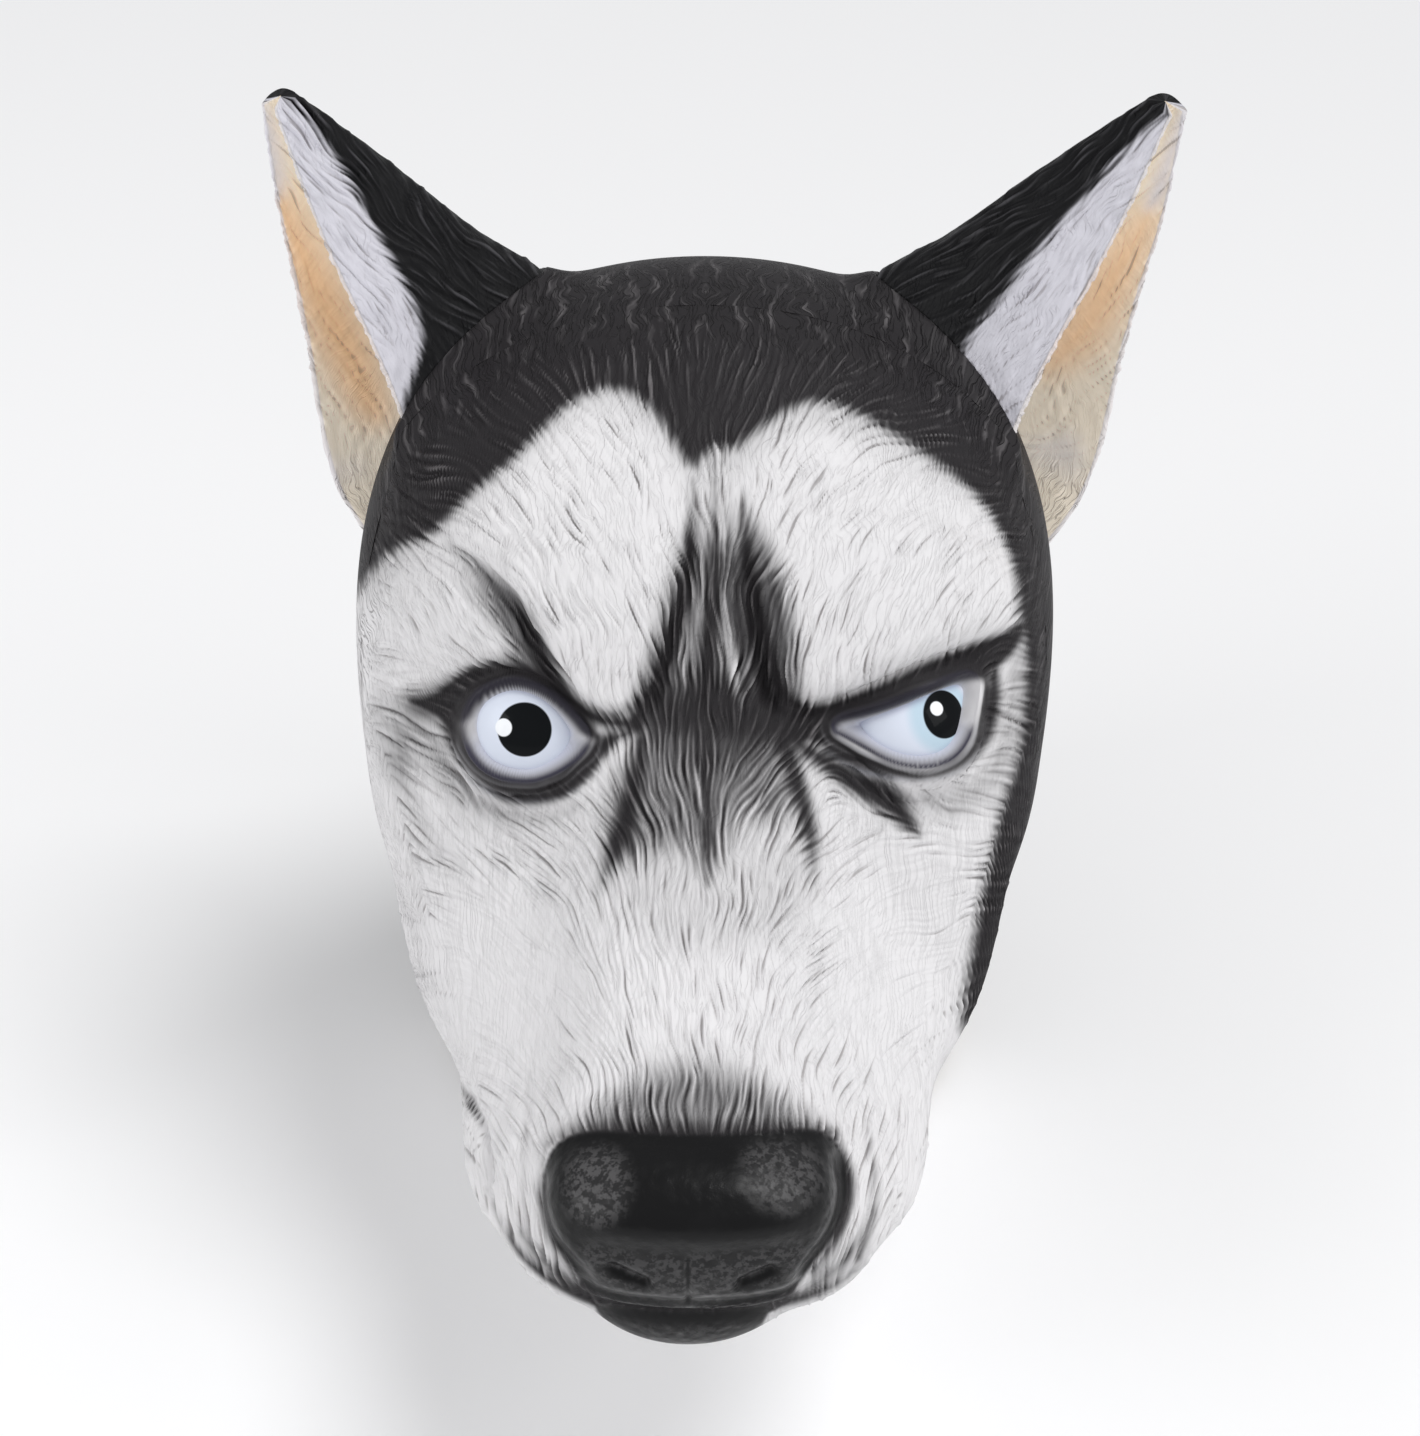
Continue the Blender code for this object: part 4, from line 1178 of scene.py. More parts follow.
@dataclass(frozen=True)
class PaintedLatex:
    """Finish of the outer skin: white latex with dark paint, moulded fur, a glossy nose, painted
    shade in the grooves and painted highlights.
    """

    white: Colour = (0.80, 0.79, 0.80, 1.0)
    groove_shade_colour: Colour = (0.24, 0.22, 0.22, 1.0)
    dark: Colour = (0.024, 0.022, 0.024, 1.0)
    dark_ridge_highlight: Colour = (0.17, 0.16, 0.165, 1.0)
    nose: Colour = (0.0065, 0.0065, 0.007, 1.0)
    nose_wear_and_sheen: Colour = (0.085, 0.083, 0.085, 1.0)
    waterline: Colour = (0.035, 0.033, 0.055, 1.0)
    lilac_and_highlight: Colour = (0.56, 0.58, 0.68, 1.0)
    rough: float = 0.52
    relief: float = 0.00065

    def make(self, fur: MouldedFur, latex: LatexSkin) -> bpy.types.Material:
        """Build the material.

        Args:
            fur: Node group of the moulded fur.
            latex: Node group of the cast latex.

        Returns:
            The material.
        """
        material, bench, shader = new_material("painted_latex")
        place = bench.place()
        bare = bench.mask("bare")
        combed = bench.mask("combed")
        strand = bench.mask("strand")
        cover = bench.sum("SUBTRACT", 1.0, bench.sum("MULTIPLY", combed, 0.82))
        cover = bench.sum("MULTIPLY", cover, bench.sum("SUBTRACT", 1.0, bare, True))
        hair = bench.group(fur.tree, flow=bench.mask("fur_flow", "Vector"), place=place,
                           spacing=2.6, length=15.0, cover=cover)
        cast = bench.group(latex.tree, place=place)
        drawn = bench.step(strand, -0.5, -2.2)
        groove = bench.sum("MAXIMUM", bench.sum("MULTIPLY", drawn, 0.9), hair.outputs["Groove"])
        tuft = bench.combed_tuft(strand, hair.outputs["Tuft"], combed)
        dark = bench.mask("dark")
        stray = bench.sum("MULTIPLY", bench.sum("SUBTRACT", 0.5, tuft), 0.70)
        edge = bench.sum("MULTIPLY", dark, bench.sum("SUBTRACT", 1.0, dark))
        edge = bench.sum("MULTIPLY", edge, bench.sum("SUBTRACT", 1.0, bare, True))
        edge = bench.sum("MULTIPLY", edge, bench.step(dark, 0.0, 0.6, 0.25, 1.0))
        stray = bench.sum("MULTIPLY", stray, bench.sum("MULTIPLY", edge, 4.4))
        painted = bench.step(bench.sum("ADD", dark, stray), 0.02, 0.98)
        painted = bench.sum("SUBTRACT", 1.0, bench.sum(
            "POWER", bench.sum("SUBTRACT", 1.0, painted, True), 1.25))
        # Painted shade: the white is darkened in the fur grooves and along the drawn hairs.
        groove_shade = bench.sum("MULTIPLY", groove, 0.72)
        light = bench.mix(groove_shade, self.white, self.groove_shade_colour)
        light = bench.mix(bench.mask("lilac_and_highlight"), light, self.lilac_and_highlight)
        # The black is lightened on the raised tufts: partly dry-brushed paint, partly painted
        # highlight on the ridges.
        brushed_highlight = bench.step(tuft, 0.50, 0.86)
        brushed_highlight = bench.sum("MULTIPLY", brushed_highlight, bench.sum("SUBTRACT", 1.0, groove))
        brushed_highlight = bench.sum("MULTIPLY", brushed_highlight,
                            bench.step(cast.outputs["Mottle"], 0.30, 0.62, 0.35, 1.0))
        black = bench.mix(brushed_highlight, self.dark, self.dark_ridge_highlight)
        colour = bench.mix(painted, light, black)
        colour = bench.mix(bench.mask("waterline"), colour, self.waterline)
        gloss = bench.mask("gloss")
        # Painted sheen: lighter speckles on the nose's pebbled leather where light catches it,
        # partly wear.
        sheen_speck = bench.noise(place, 420.0, 2.0, 0.7)
        sheen_speck = bench.sum("MULTIPLY", bench.step(sheen_speck, 0.44, 0.60, 0.25, 1.0),
                          bench.mask("pebble"))
        leather_colour = bench.mix(sheen_speck, self.nose, self.nose_wear_and_sheen)
        colour = bench.mix(gloss, colour, leather_colour)
        bench.feed(shader.inputs["Base Color"], colour)
        fleck = bench.step(cast.outputs["Waves"], 0.42, 0.58, 0.30, 0.42)
        rough = bench.sum("MULTIPLY_ADD", cast.outputs["Mottle"], 0.12)
        bench.feed(rough.node.inputs[2], self.rough - 0.06)
        mixed = bench.add("ShaderNodeMix", data_type="FLOAT")
        wet = bench.sum("MAXIMUM", gloss, bench.mask("waterline"))
        for i, given in enumerate((wet, rough, fleck)):
            bench.feed(mixed.inputs[(0, 2, 3)[i]], given)
        bench.feed(shader.inputs["Roughness"], mixed.outputs[0])
        shader.inputs["Specular IOR Level"].default_value = 0.13
        bench.feed(shader.inputs["Coat Weight"], bench.sum("MULTIPLY", wet, 0.10))
        shader.inputs["Coat Roughness"].default_value = 0.25
        pits = bench.sum("MULTIPLY", cast.outputs["Pores"], 0.10)
        pebble = bench.add("ShaderNodeTexVoronoi", feature="SMOOTH_F1")
        bench.feed(pebble.inputs["Vector"], place)
        pebble.inputs["Scale"].default_value = 330.0
        rough_skin = bench.sum("MULTIPLY_ADD", bench.mask("pebble"), -1.5)
        rough_skin.node.inputs[2].default_value = -0.35
        leather = bench.sum("MULTIPLY", pebble.outputs["Distance"], rough_skin)
        leather = bench.sum("MULTIPLY", leather, gloss)
        height = bench.sum("ADD", bench.sum("ADD", hair.outputs["Height"], pits), leather)
        bump = bench.add("ShaderNodeBump")
        bump.inputs["Strength"].default_value = 1.0
        bump.inputs["Distance"].default_value = self.relief
        bench.feed(bump.inputs["Height"], height)
        bench.feed(shader.inputs["Normal"], bump.outputs["Normal"])
        return material


@dataclass(frozen=True)
class EarLatex:
    """Finish of an ear: black back, bluish white strip, tan and cream inside, painted shade in the
    grooves and a painted glow inside.
    """

    dark: Colour = (0.008, 0.008, 0.009, 1.0)
    dark_ridge_highlight: Colour = (0.085, 0.083, 0.090, 1.0)
    strip: Colour = (0.70, 0.69, 0.75, 1.0)
    tan: Colour = (0.86, 0.56, 0.33, 1.0)
    cream: Colour = (0.86, 0.78, 0.66, 1.0)
    groove_shade_colour: Colour = (0.16, 0.13, 0.12, 1.0)
    painted_inner_light: float = 0.30
    rough: float = 0.50
    relief: float = 0.0006

    def make(self, fur: MouldedFur, latex: LatexSkin) -> bpy.types.Material:
        """Build the material.

        Args:
            fur: Node group of the moulded fur.
            latex: Node group of the cast latex.

        Returns:
            The material.
        """
        material, bench, shader = new_material("painted_ear_latex")
        place = bench.place()
        hair = bench.group(fur.tree, flow=bench.mask("fur_flow", "Vector"), place=place,
                           spacing=2.2, length=13.0,
                           cover=bench.sum("SUBTRACT", 1.0, bench.sum(
                               "MULTIPLY", bench.mask("combed"), 0.85)))
        cast = bench.group(latex.tree, place=place)
        strand = bench.mask("strand")
        drawn = bench.step(strand, -0.4, -2.0)
        groove = bench.sum("MAXIMUM", bench.sum("MULTIPLY", drawn, 0.9), hair.outputs["Groove"])
        tuft = bench.combed_tuft(strand, hair.outputs["Tuft"], bench.mask("combed"))
        dark, inner = bench.mask("dark"), bench.mask("inside")
        stray = bench.sum("MULTIPLY", bench.sum("SUBTRACT", 0.5, tuft), 1.4)
        edge = bench.sum("MULTIPLY", dark, bench.sum("SUBTRACT", 1.0, dark))
        stray = bench.sum("MULTIPLY", stray, bench.sum("MULTIPLY", edge, 4.0))
        painted = bench.step(bench.sum("ADD", dark, stray), 0.05, 0.95)
        warm = bench.mix(bench.mask("tan"), self.cream, self.tan)
        warm = bench.mix(bench.mask("pale"), warm, self.strip)
        light = bench.mix(inner, self.strip, warm)
        # Painted shade: the ear's light colours are darkened in the fur grooves.
        light = bench.mix(bench.sum("MULTIPLY", groove, 0.5), light, self.groove_shade_colour)
        # The ear's black is lightened on the raised tufts: partly dry-brushed paint, partly painted
        # highlight.
        brushed_highlight = bench.sum("MULTIPLY", bench.step(tuft, 0.52, 0.86), 0.8)
        black = bench.mix(brushed_highlight, self.dark, self.dark_ridge_highlight)
        painted_colour = bench.mix(painted, light, black)
        bench.feed(shader.inputs["Base Color"], painted_colour)
        # Painted light: the inside of the ear glows in its own painted colour, lightening it as if
        # light reached in.
        painted_inner_light = bench.mix(inner, (0.0, 0.0, 0.0, 1.0), painted_colour)
        bench.feed(shader.inputs["Emission Color"], painted_inner_light)
        shader.inputs["Emission Strength"].default_value = self.painted_inner_light
        rough = bench.sum("MULTIPLY_ADD", cast.outputs["Mottle"], 0.16)
        bench.feed(rough.node.inputs[2], self.rough - 0.08)
        bench.feed(shader.inputs["Roughness"], rough)
        shader.inputs["Specular IOR Level"].default_value = 0.14
        bump = bench.add("ShaderNodeBump")
        bump.inputs["Strength"].default_value = 1.0
        bump.inputs["Distance"].default_value = self.relief
        pits = bench.sum("MULTIPLY", cast.outputs["Pores"], 0.10)
        bench.feed(bump.inputs["Height"], bench.sum("ADD", hair.outputs["Height"], pits))
        bench.feed(shader.inputs["Normal"], bump.outputs["Normal"])
        return material


@dataclass(frozen=True)
class RawLatex:
    """Finish of the unpainted inside: cream latex with slight puddle marks."""

    cream: Colour = (0.66, 0.58, 0.45, 1.0)
    stain: Colour = (0.50, 0.41, 0.29, 1.0)
    rough: float = 0.6

    def make(self, latex: LatexSkin) -> bpy.types.Material:
        """Build the material.

        Args:
            latex: Node group of the cast latex.

        Returns:
            The material.
        """
        material, bench, shader = new_material("raw_latex")
        cast = bench.group(latex.tree, place=bench.place())
        shade = bench.step(cast.outputs["Mottle"], 0.35, 0.7)
        bench.feed(shader.inputs["Base Color"], bench.mix(shade, self.cream, self.stain))
        shader.inputs["Roughness"].default_value = self.rough
        bump = bench.add("ShaderNodeBump")
        bump.inputs["Strength"].default_value = 0.8
        bump.inputs["Distance"].default_value = 0.0008
        bench.feed(bump.inputs["Height"], cast.outputs["Waves"])
        bench.feed(shader.inputs["Normal"], bump.outputs["Normal"])
        return material


@dataclass(frozen=True)
class EyeGloss:
    """Finish of an eye: bluish white ball with a black pupil under a thick gloss coat, with painted
    shade by the lids and a painted highlight.
    """

    ball: Colour = (0.74, 0.79, 0.90, 1.0)
    # Painted shade on the ball next to the lids.
    rim: Colour = (0.30, 0.31, 0.45, 1.0)
    iris: Colour = (0.50, 0.67, 0.78, 1.0)
    pupil: Colour = (0.006, 0.007, 0.008, 1.0)
    glint: Colour = (0.93, 0.95, 0.98, 1.0)

    @staticmethod
    def disc(bench: Bench, ray: bpy.types.NodeSocket, direction: np.ndarray,
             angle: float, softness: float) -> bpy.types.NodeSocket:
        """Round spot painted on the ball, for the pupil, the iris and the painted highlight.

        Args:
            bench: Bench of the material.
            ray: Unit direction from the ball's centre.
            direction: Unit direction of the spot's middle.
            angle: Its half-angle.
            softness: Angle over which its edge fades.

        Returns:
            1 inside the spot and 0 outside it.
        """
        node = bench.add("ShaderNodeVectorMath", operation="DOT_PRODUCT")
        bench.feed(node.inputs[0], ray)
        node.inputs[1].default_value = tuple(float(x) for x in direction)
        return bench.step(node.outputs["Value"], cos(angle + softness),
                          cos(max(angle - softness, 0.0)))

    def make(self, name: str, centre: np.ndarray, pupil: np.ndarray, pupil_angle: float,
             glint: np.ndarray, glint_angle: float, iris_share: float) -> bpy.types.Material:
        """Build the material of one eye.

        Args:
            name: Name of the material.
            centre: Centre of the ball.
            pupil: Direction of the pupil.
            pupil_angle: Half-angle of the pupil.
            glint: Direction of the painted glint.
            glint_angle: Half-angle of the glint.
            iris_share: How strongly the pale blue iris shows.

        Returns:
            The material.
        """
        material, bench, shader = new_material(name)
        away = bench.add("ShaderNodeVectorMath", operation="SUBTRACT")
        bench.feed(away.inputs[0], bench.place())
        away.inputs[1].default_value = tuple(float(x) for x in centre)
        unit = bench.add("ShaderNodeVectorMath", operation="NORMALIZE")
        bench.feed(unit.inputs[0], away.outputs[0])
        ray = unit.outputs[0]
        iris = self.disc(bench, ray, pupil, pupil_angle * 1.55, pupil_angle * 0.30)
        iris = bench.sum("MULTIPLY", iris, iris_share)
        colour = bench.mix(iris, self.ball, self.iris)
        # Painted shade: the ball darkens towards the lids.
        colour = bench.mix(bench.mask("lid_shade"), colour, self.rim)
        spot = self.disc(bench, ray, pupil, pupil_angle, 0.012)
        colour = bench.mix(spot, colour, self.pupil)
        # Painted highlight: a white glint fixed on the ball.
        glint_highlight = self.disc(bench, ray, glint, glint_angle, 0.010)
        colour = bench.mix(glint_highlight, colour, self.glint)
        bench.feed(shader.inputs["Base Color"], colour)
        shader.inputs["Roughness"].default_value = 0.3
        shader.inputs["Specular IOR Level"].default_value = 0.03
        shader.inputs["Coat Weight"].default_value = 0.10
        shader.inputs["Coat Roughness"].default_value = 0.03
        return material


@dataclass
class FaceSkin:
    """The painted outer skin, from the hem over the hood to the tip of the nose."""

    form: MaskForm
    view: PictureView
    dense_round: float = 0.25
    dense_points: int = 620
    coarse_points: int = 120
    hood_points: int = 480
    hood_end: float = 5.2
    lid_dip: float = 0.0025
    lid_roll: float = 0.0006
    strand_height: float = 0.28
    crease_height: float = 0.45
    tuft_height: float = 0.35
    pieces: tuple[str, ...] = ("brow_skin", "cheek_skin", "muzzle_skin")

    def stations(self) -> np.ndarray:
        """Places of the face's rings."""
        return np.r_[np.arange(self.hood_end, 6.0, 0.026), np.arange(6.0, 8.6, 0.02),
                     np.arange(8.6, 13.99, 0.026)]

    def rounds(self) -> np.ndarray:
        """Places round a ring of the face, closest together in front."""
        face = np.linspace(-self.dense_round, self.dense_round, self.dense_points, False)
        rest = np.linspace(self.dense_round, 1 - self.dense_round, self.coarse_points, False)
        around = np.concatenate([face, rest])
        return np.where(around > 0.5, around - 1.0, around)

    def out(self, points: np.ndarray) -> np.ndarray:
        """Normals that point out of the mask."""
        normals = grid_normals(points, True)
        third = len(points) // 3
        side = (points[third] - points[third].mean(axis=0)) * normals[third]
        return normals if side.sum() > 0 else -normals

    def front(self, stations: np.ndarray, rounds: np.ndarray) -> np.ndarray:
        """Share of the skin that the folds and paint of the face reach, ring by ring."""
        along = stations[:, None]
        about = np.abs(rounds)[None, :]
        face = smoothstep(4.1, 4.6, along) * smoothstep(0.42, 0.35, about)
        return np.maximum(face, smoothstep(11.6, 12.2, along) + 0 * about)

    def seen(self, points: np.ndarray, front: np.ndarray,
             low: float, high: float) -> np.ndarray:
        """How far the camera's lines count at each point."""
        return smoothstep(low, high, self.view.facing(points, self.out(points))) * front

    def relief(self, points: np.ndarray, front: np.ndarray) -> np.ndarray:
        """Raise the brows and press the folds into the smooth form.

        Args:
            points: Rings of the smooth form.
            front: Share that the folds reach.

        Returns:
            The rings with their relief, and the lids wrapped round the eyes.
        """
        seen = self.seen(points, front, 0.03, 0.25)
        near = seen > 0.001
        place, scale = self.view.see(points[near])
        push = np.zeros(near.sum())
        for mound in MOUNDS:
            gap = outline_gap(place, mound.outline) * scale
            push += mound.height * smoothstep(mound.shoulder, -mound.shoulder, gap)
        for fold in FOLDS:
            gap, share = line_gap(place, fold.route)
            ends = smoothstep(-0.04, 0.16, share) * smoothstep(1.04, 0.84, share)
            push -= fold.depth * ends * np.exp(-(gap * scale / fold.half_width) ** 2)
        points = points.copy()
        normals = self.out(points)
        points[near] += normals[near] * (push * seen[near] * MM)[:, None]
        return self.form.wrap_lids(points)

    def eye_gap(self, name: str, points: np.ndarray) -> np.ndarray:
        """Millimetres from each point to the opening between an eye's lids, minus inside."""
        place, scale = self.view.see(points)
        return outline_gap(place, OPENINGS[name]) * scale

    def open_lids(self, points: np.ndarray) -> tuple[np.ndarray, np.ndarray, np.ndarray]:
        """Roll the lids' edges and dip the skin behind the eyes.

        Args:
            points: Rings with their relief.

        Returns:
            The rings, the millimetres to the nearest opening, and which points are hidden.
        """
        points = points.copy()
        nearest = np.full(points.shape[:-1], 99.0)
        for name in OPENINGS:
            centre = self.form.eye_centre(name)
            near = np.linalg.norm(points - centre, axis=-1) < 0.040
            reach = points[near] - centre
            radius = np.linalg.norm(reach, axis=-1)
            gap = self.eye_gap(name, points[near])
            dip = smoothstep(1.6, -1.0, gap)
            aim = radius * (1 - dip) + (self.form.eye_radius - self.lid_dip) * dip
            aim += self.lid_roll * np.exp(-((gap - 2.0) / 1.0) ** 2)
            points[near] = centre + reach * (aim / radius)[:, None]
            nearest[near] = np.minimum(nearest[near], gap)
        return points, nearest, nearest < -2.4

    def side_dark(self, points: np.ndarray) -> np.ndarray:
        """Dark back and sides beyond the face: dark behind an edge that leans with height."""
        heights = np.array((-0.30, -0.22, -0.16, -0.10, -0.06, 0.0))
        left = np.array((-0.020, -0.045, -0.072, -0.063, -0.055, -0.030))
        right = np.array((-0.005, -0.012, -0.018, -0.022, -0.035, -0.030))
        x, y, z = points[..., 0], points[..., 1], points[..., 2]
        share = smoothstep(-0.03, 0.03, x)
        edge = np.interp(z, heights, right) * (1 - share) + np.interp(z, heights, left) * share
        return smoothstep(-0.007, 0.007, y - edge)

    def paint(self, points: np.ndarray, front: np.ndarray,
              lids: np.ndarray) -> dict[str, np.ndarray]:
        """Masks of the paint.

        Args:
            points: Final rings.
            front: Share that the camera's paint reaches.
            lids: Millimetres to the nearest eye opening.

        Returns:
            Each mask by its name.
        """
        seen = self.seen(points, front, -0.20, 0.0)
        combed = self.seen(points, front, 0.02, 0.16)
        near = seen > 0.001
        place, scale = self.view.see(points[near])
        bare_paint = np.ones(near.sum())
        pebble = np.zeros(near.sum())
        wet = np.zeros(near.sum())
        lilac_and_highlight = np.zeros(near.sum())
        for spray in SPRAYS:
            layer = spray.cover(place, scale)
            bare_paint *= 1 - layer
            if spray.name in GLOSSY:
                wet = np.maximum(wet, layer)
        for spray in RIDGE_HIGHLIGHT_SPRAYS:
            bare_paint += (1 - bare_paint) * spray.cover(place, scale)
        for spray in LILAC_AND_HIGHLIGHT_SPRAYS:
            lilac_and_highlight = np.maximum(lilac_and_highlight, spray.cover(place, scale))
        # Painted sheen speckles on the nose and lip, which also raise the leather's pebbles.
        for spray in NOSE_SHEEN_AND_WEAR_SPRAYS:
            pebble = np.maximum(pebble, spray.cover(place, scale))
        for spray in NOSTRILS:
            pebble = pebble * (1 - spray.cover(place, scale))
        masks = {name: np.zeros(near.shape) for name in ("gloss", "lilac_and_highlight", "waterline",
                                                            "pebble")}
        masks["dark"] = self.side_dark(points)
        masks["dark"][near] += seen[near] * ((1 - bare_paint) - masks["dark"][near])
        masks["gloss"][near] = wet * seen[near]
        masks["pebble"][near] = pebble * wet * seen[near]
        masks["lilac_and_highlight"][near] = lilac_and_highlight * seen[near]
        below = np.zeros(near.shape)
        below[near] = smoothstep(-3.0, 4.0, (place[:, 1] - self.eye_row(place)) * scale)
        # Painted highlight: a light lilac line along the lower lids' rims and on the creases'
        # ridges round the eyes, where the dark paint is taken back; the lids' rolled-in edges are
        # kept pale.
        line = np.maximum(smoothstep(1.9, 0.1, lids) * below, smoothstep(0.6, -0.2, lids))
        crease = self.creases(points, lids) * below
        masks["dark"] *= 1 - np.maximum(0.22 * crease, line)
        masks["lilac_and_highlight"] = np.maximum(masks["lilac_and_highlight"], np.maximum(0.28 * crease, line))
        masks["waterline"] = smoothstep(3.4, 2.0, lids) * np.maximum(below, 0.4) * (1 - line)
        masks["bare"] = np.maximum(masks["gloss"], smoothstep(8.0, 3.5, lids))
        masks["strand"] = np.zeros(near.shape)
        masks["strand"][near] = CombedFur().sample(place) * combed[near]
        masks["strand"] *= 1 - masks["bare"]
        masks["combed"] = combed
        return masks

    @staticmethod
    def eye_row(place: np.ndarray) -> np.ndarray:
        """Picture row of the middle of the nearer eye."""
        return np.where(place[:, 0] < EYE_DIVIDE, EYE_ROWS[0], EYE_ROWS[1])

    def creases(self, points: np.ndarray, lids: np.ndarray) -> np.ndarray:
        """Height, from 0 to 1, of the fine creases that ring the eye openings."""
        sway = soft_noise(points[..., 0] / MM / 7 + 50, points[..., 2] / MM / 7 + 50, 14)
        wave = 0.5 + 0.5 * np.cos(2 * pi * (lids / 2.4 + 0.9 * sway))
        return wave * smoothstep(9.0, 5.5, lids) * smoothstep(1.2, 2.2, lids)

    def flow(self, points: np.ndarray, rounds: np.ndarray) -> np.ndarray:
        """Place of each point along and across the fur, in millimetres."""
        steps = np.linalg.norm(np.diff(points, axis=0), axis=-1)
        along = np.concatenate([np.zeros((1, len(rounds))), np.cumsum(steps, axis=0)])
        girth = np.linalg.norm(points - np.roll(points, 1, axis=1), axis=-1).sum(axis=1)
        girth = girth ** 0.6 * girth.max() ** 0.4
        across = np.abs(rounds)[None, :] * girth[:, None]
        side = np.sin(2 * pi * rounds)[None, :] * 3.0 + 0 * across
        return np.stack([along / MM, across / MM, side], -1)

    def tufts(self, flow: np.ndarray, bare: np.ndarray) -> np.ndarray:
        """Height of the coarse tufts of fur, in millimetres."""
        side = flow[..., 2] * 4 + 40
        high = soft_noise(flow[..., 0] / 9 + side, flow[..., 1] / 2.6 + side, 3) - 0.5
        low = soft_noise(flow[..., 0] / 14 + side, flow[..., 1] / 5.5 + side, 4) - 0.5
        return (high + low) * self.tuft_height * (1 - bare)

    def build(self, material: bpy.types.Material, ears: np.ndarray) -> list[bpy.types.Object]:
        """Build the skin's pieces.

        Args:
            material: Finish of the skin.
            ears: Outer points of both ears, which the skin flares up to.

        Returns:
            The pieces, from the hood to the muzzle.
        """
        hood = np.r_[np.arange(0, 4.0, 0.06), np.arange(4.0, self.hood_end, 0.028),
                     self.hood_end + np.arange(3) * 0.026]
        even = np.arange(self.hood_points) / self.hood_points - 0.5
        made = self.part(("hood_skin",), hood, even, 2, material, ears)
        return made + self.part(self.pieces, self.stations(), self.rounds(), 0, material, ears)

    def part(self, names: tuple[str, ...], stations: np.ndarray, rounds: np.ndarray,
             spare: int, material: bpy.types.Material,
             ears: np.ndarray) -> list[bpy.types.Object]:
        """Build a run of rings as one or more pieces.

        Args:
            names: Names of the pieces.
            stations: Places of the rings.
            rounds: Places round a ring.
            spare: Rings at the end that only steady the normals.
            material: Finish of the skin.
            ears: Outer points of both ears.

        Returns:
            The pieces.
        """
        front = self.front(stations, rounds)
        smooth = self.form.smooth_rings(stations, rounds)
        flow = self.flow(smooth, rounds)
        points, lids, hidden = self.open_lids(self.relief(smooth, front))
        points = self.flare(points, ears)
        masks = self.paint(points, front, lids)
        for name in ("strand", "combed"):
            masks[name] = masks[name] * smoothstep(self.hood_end, self.hood_end + 0.5,
                                                   stations)[:, None]
        push = self.tufts(flow, masks["bare"]) * (1 - masks["combed"]) * (1 - spare / 2)
        push = push * smoothstep(0.30, 0.22, np.abs(rounds))[None, :]
        push += masks["strand"] * self.strand_height
        push += self.creases(points, lids) * self.crease_height * masks["bare"]
        points += self.out(points) * (push * MM)[..., None]
        if stations[-1] > 13.9:
            points[-1] = points[-1].mean(axis=0) + 0.05 * (points[-1] - points[-1].mean(axis=0))
        normals = self.out(points)
        if stations[-1] > 13.9:
            normals[-1] = normals[-2].mean(axis=0)
        cuts = np.linspace(0, len(stations) - 1 - spare, len(names) + 1).astype(int)
        made = []
        for name, first, last in zip(names, cuts[:-1], cuts[1:]):
            rows = slice(first, last + 1)
            faces = grid_faces(last + 1 - first, len(rounds), True)
            keep = ~hidden[rows].reshape(-1)[faces].all(axis=1)
            piece = make_mesh(name, points[rows].reshape(-1, 3), faces[keep],
                              normals[rows].reshape(-1, 3))
            for key, values in masks.items():
                add_mask(piece, key, values[rows])
            add_flow(piece, flow[rows])
            piece.data.materials.append(material)
            made.append(piece)
        return made

    def flare(self, points: np.ndarray, ears: np.ndarray) -> np.ndarray:
        """Raise the crown in a soft fillet where the ears grow out of it."""
        band = (points[..., 2] > -0.09) & (np.abs(points[..., 0]) > 0.02)
        band &= (np.abs(points[..., 1]) < 0.09)
        tree = search_tree(ears)
        normals = self.out(points)
        where = np.argwhere(band)
        points = points.copy()
        for i, j in where:
            away = tree.find(points[i, j])[2]
            points[i, j] += normals[i, j] * 0.006 * np.exp(-(away / 0.0065) ** 1.4)
        return points


def search_tree(points: np.ndarray) -> KDTree:
    """Search tree of points."""
    tree = KDTree(len(points))
    for i, point in enumerate(points):
        tree.insert(point, i)
    tree.balance()
    return tree


@dataclass
class Lining:
    """The unpainted inside of the casting, with the turned lip of its hem."""

    form: MaskForm
    skin: FaceSkin
    points_round: int = 260
    lip: float = 0.0008

    def build(self, material: bpy.types.Material) -> bpy.types.Object:
        """Build the lining with the given finish."""
        stations = np.r_[np.arange(0, 5, 0.2), np.arange(5, 9, 0.07), np.arange(9, 13.3, 0.1)]
        rounds = np.arange(self.points_round) / self.points_round - 0.5
        outer = self.skin.relief(self.form.smooth_rings(stations, rounds),
                                 self.skin.front(stations, rounds))
        normals = self.skin.out(outer)
        inside = outer - normals * self.form.wall
        middle = (outer[0] + inside[0]) / 2 - np.array((0, 0, self.lip))
        rings = np.concatenate([outer[:1], middle[None], inside])
        faces = grid_faces(len(rings), self.points_round, True)[:, ::-1]
        flat = rings.reshape(-1, 3)
        keep = np.ones(len(faces), bool)
        for name in OPENINGS:
            away = np.linalg.norm(flat - self.form.eye_centre(name), axis=1)
            open_here = (away < 0.034) & (self.skin.eye_gap(name, flat) < 1.0)
            keep &= ~open_here[faces].any(axis=1)
        lining = make_mesh("raw_lining", flat, faces[keep], None)
        lining.data.materials.append(material)
        return lining


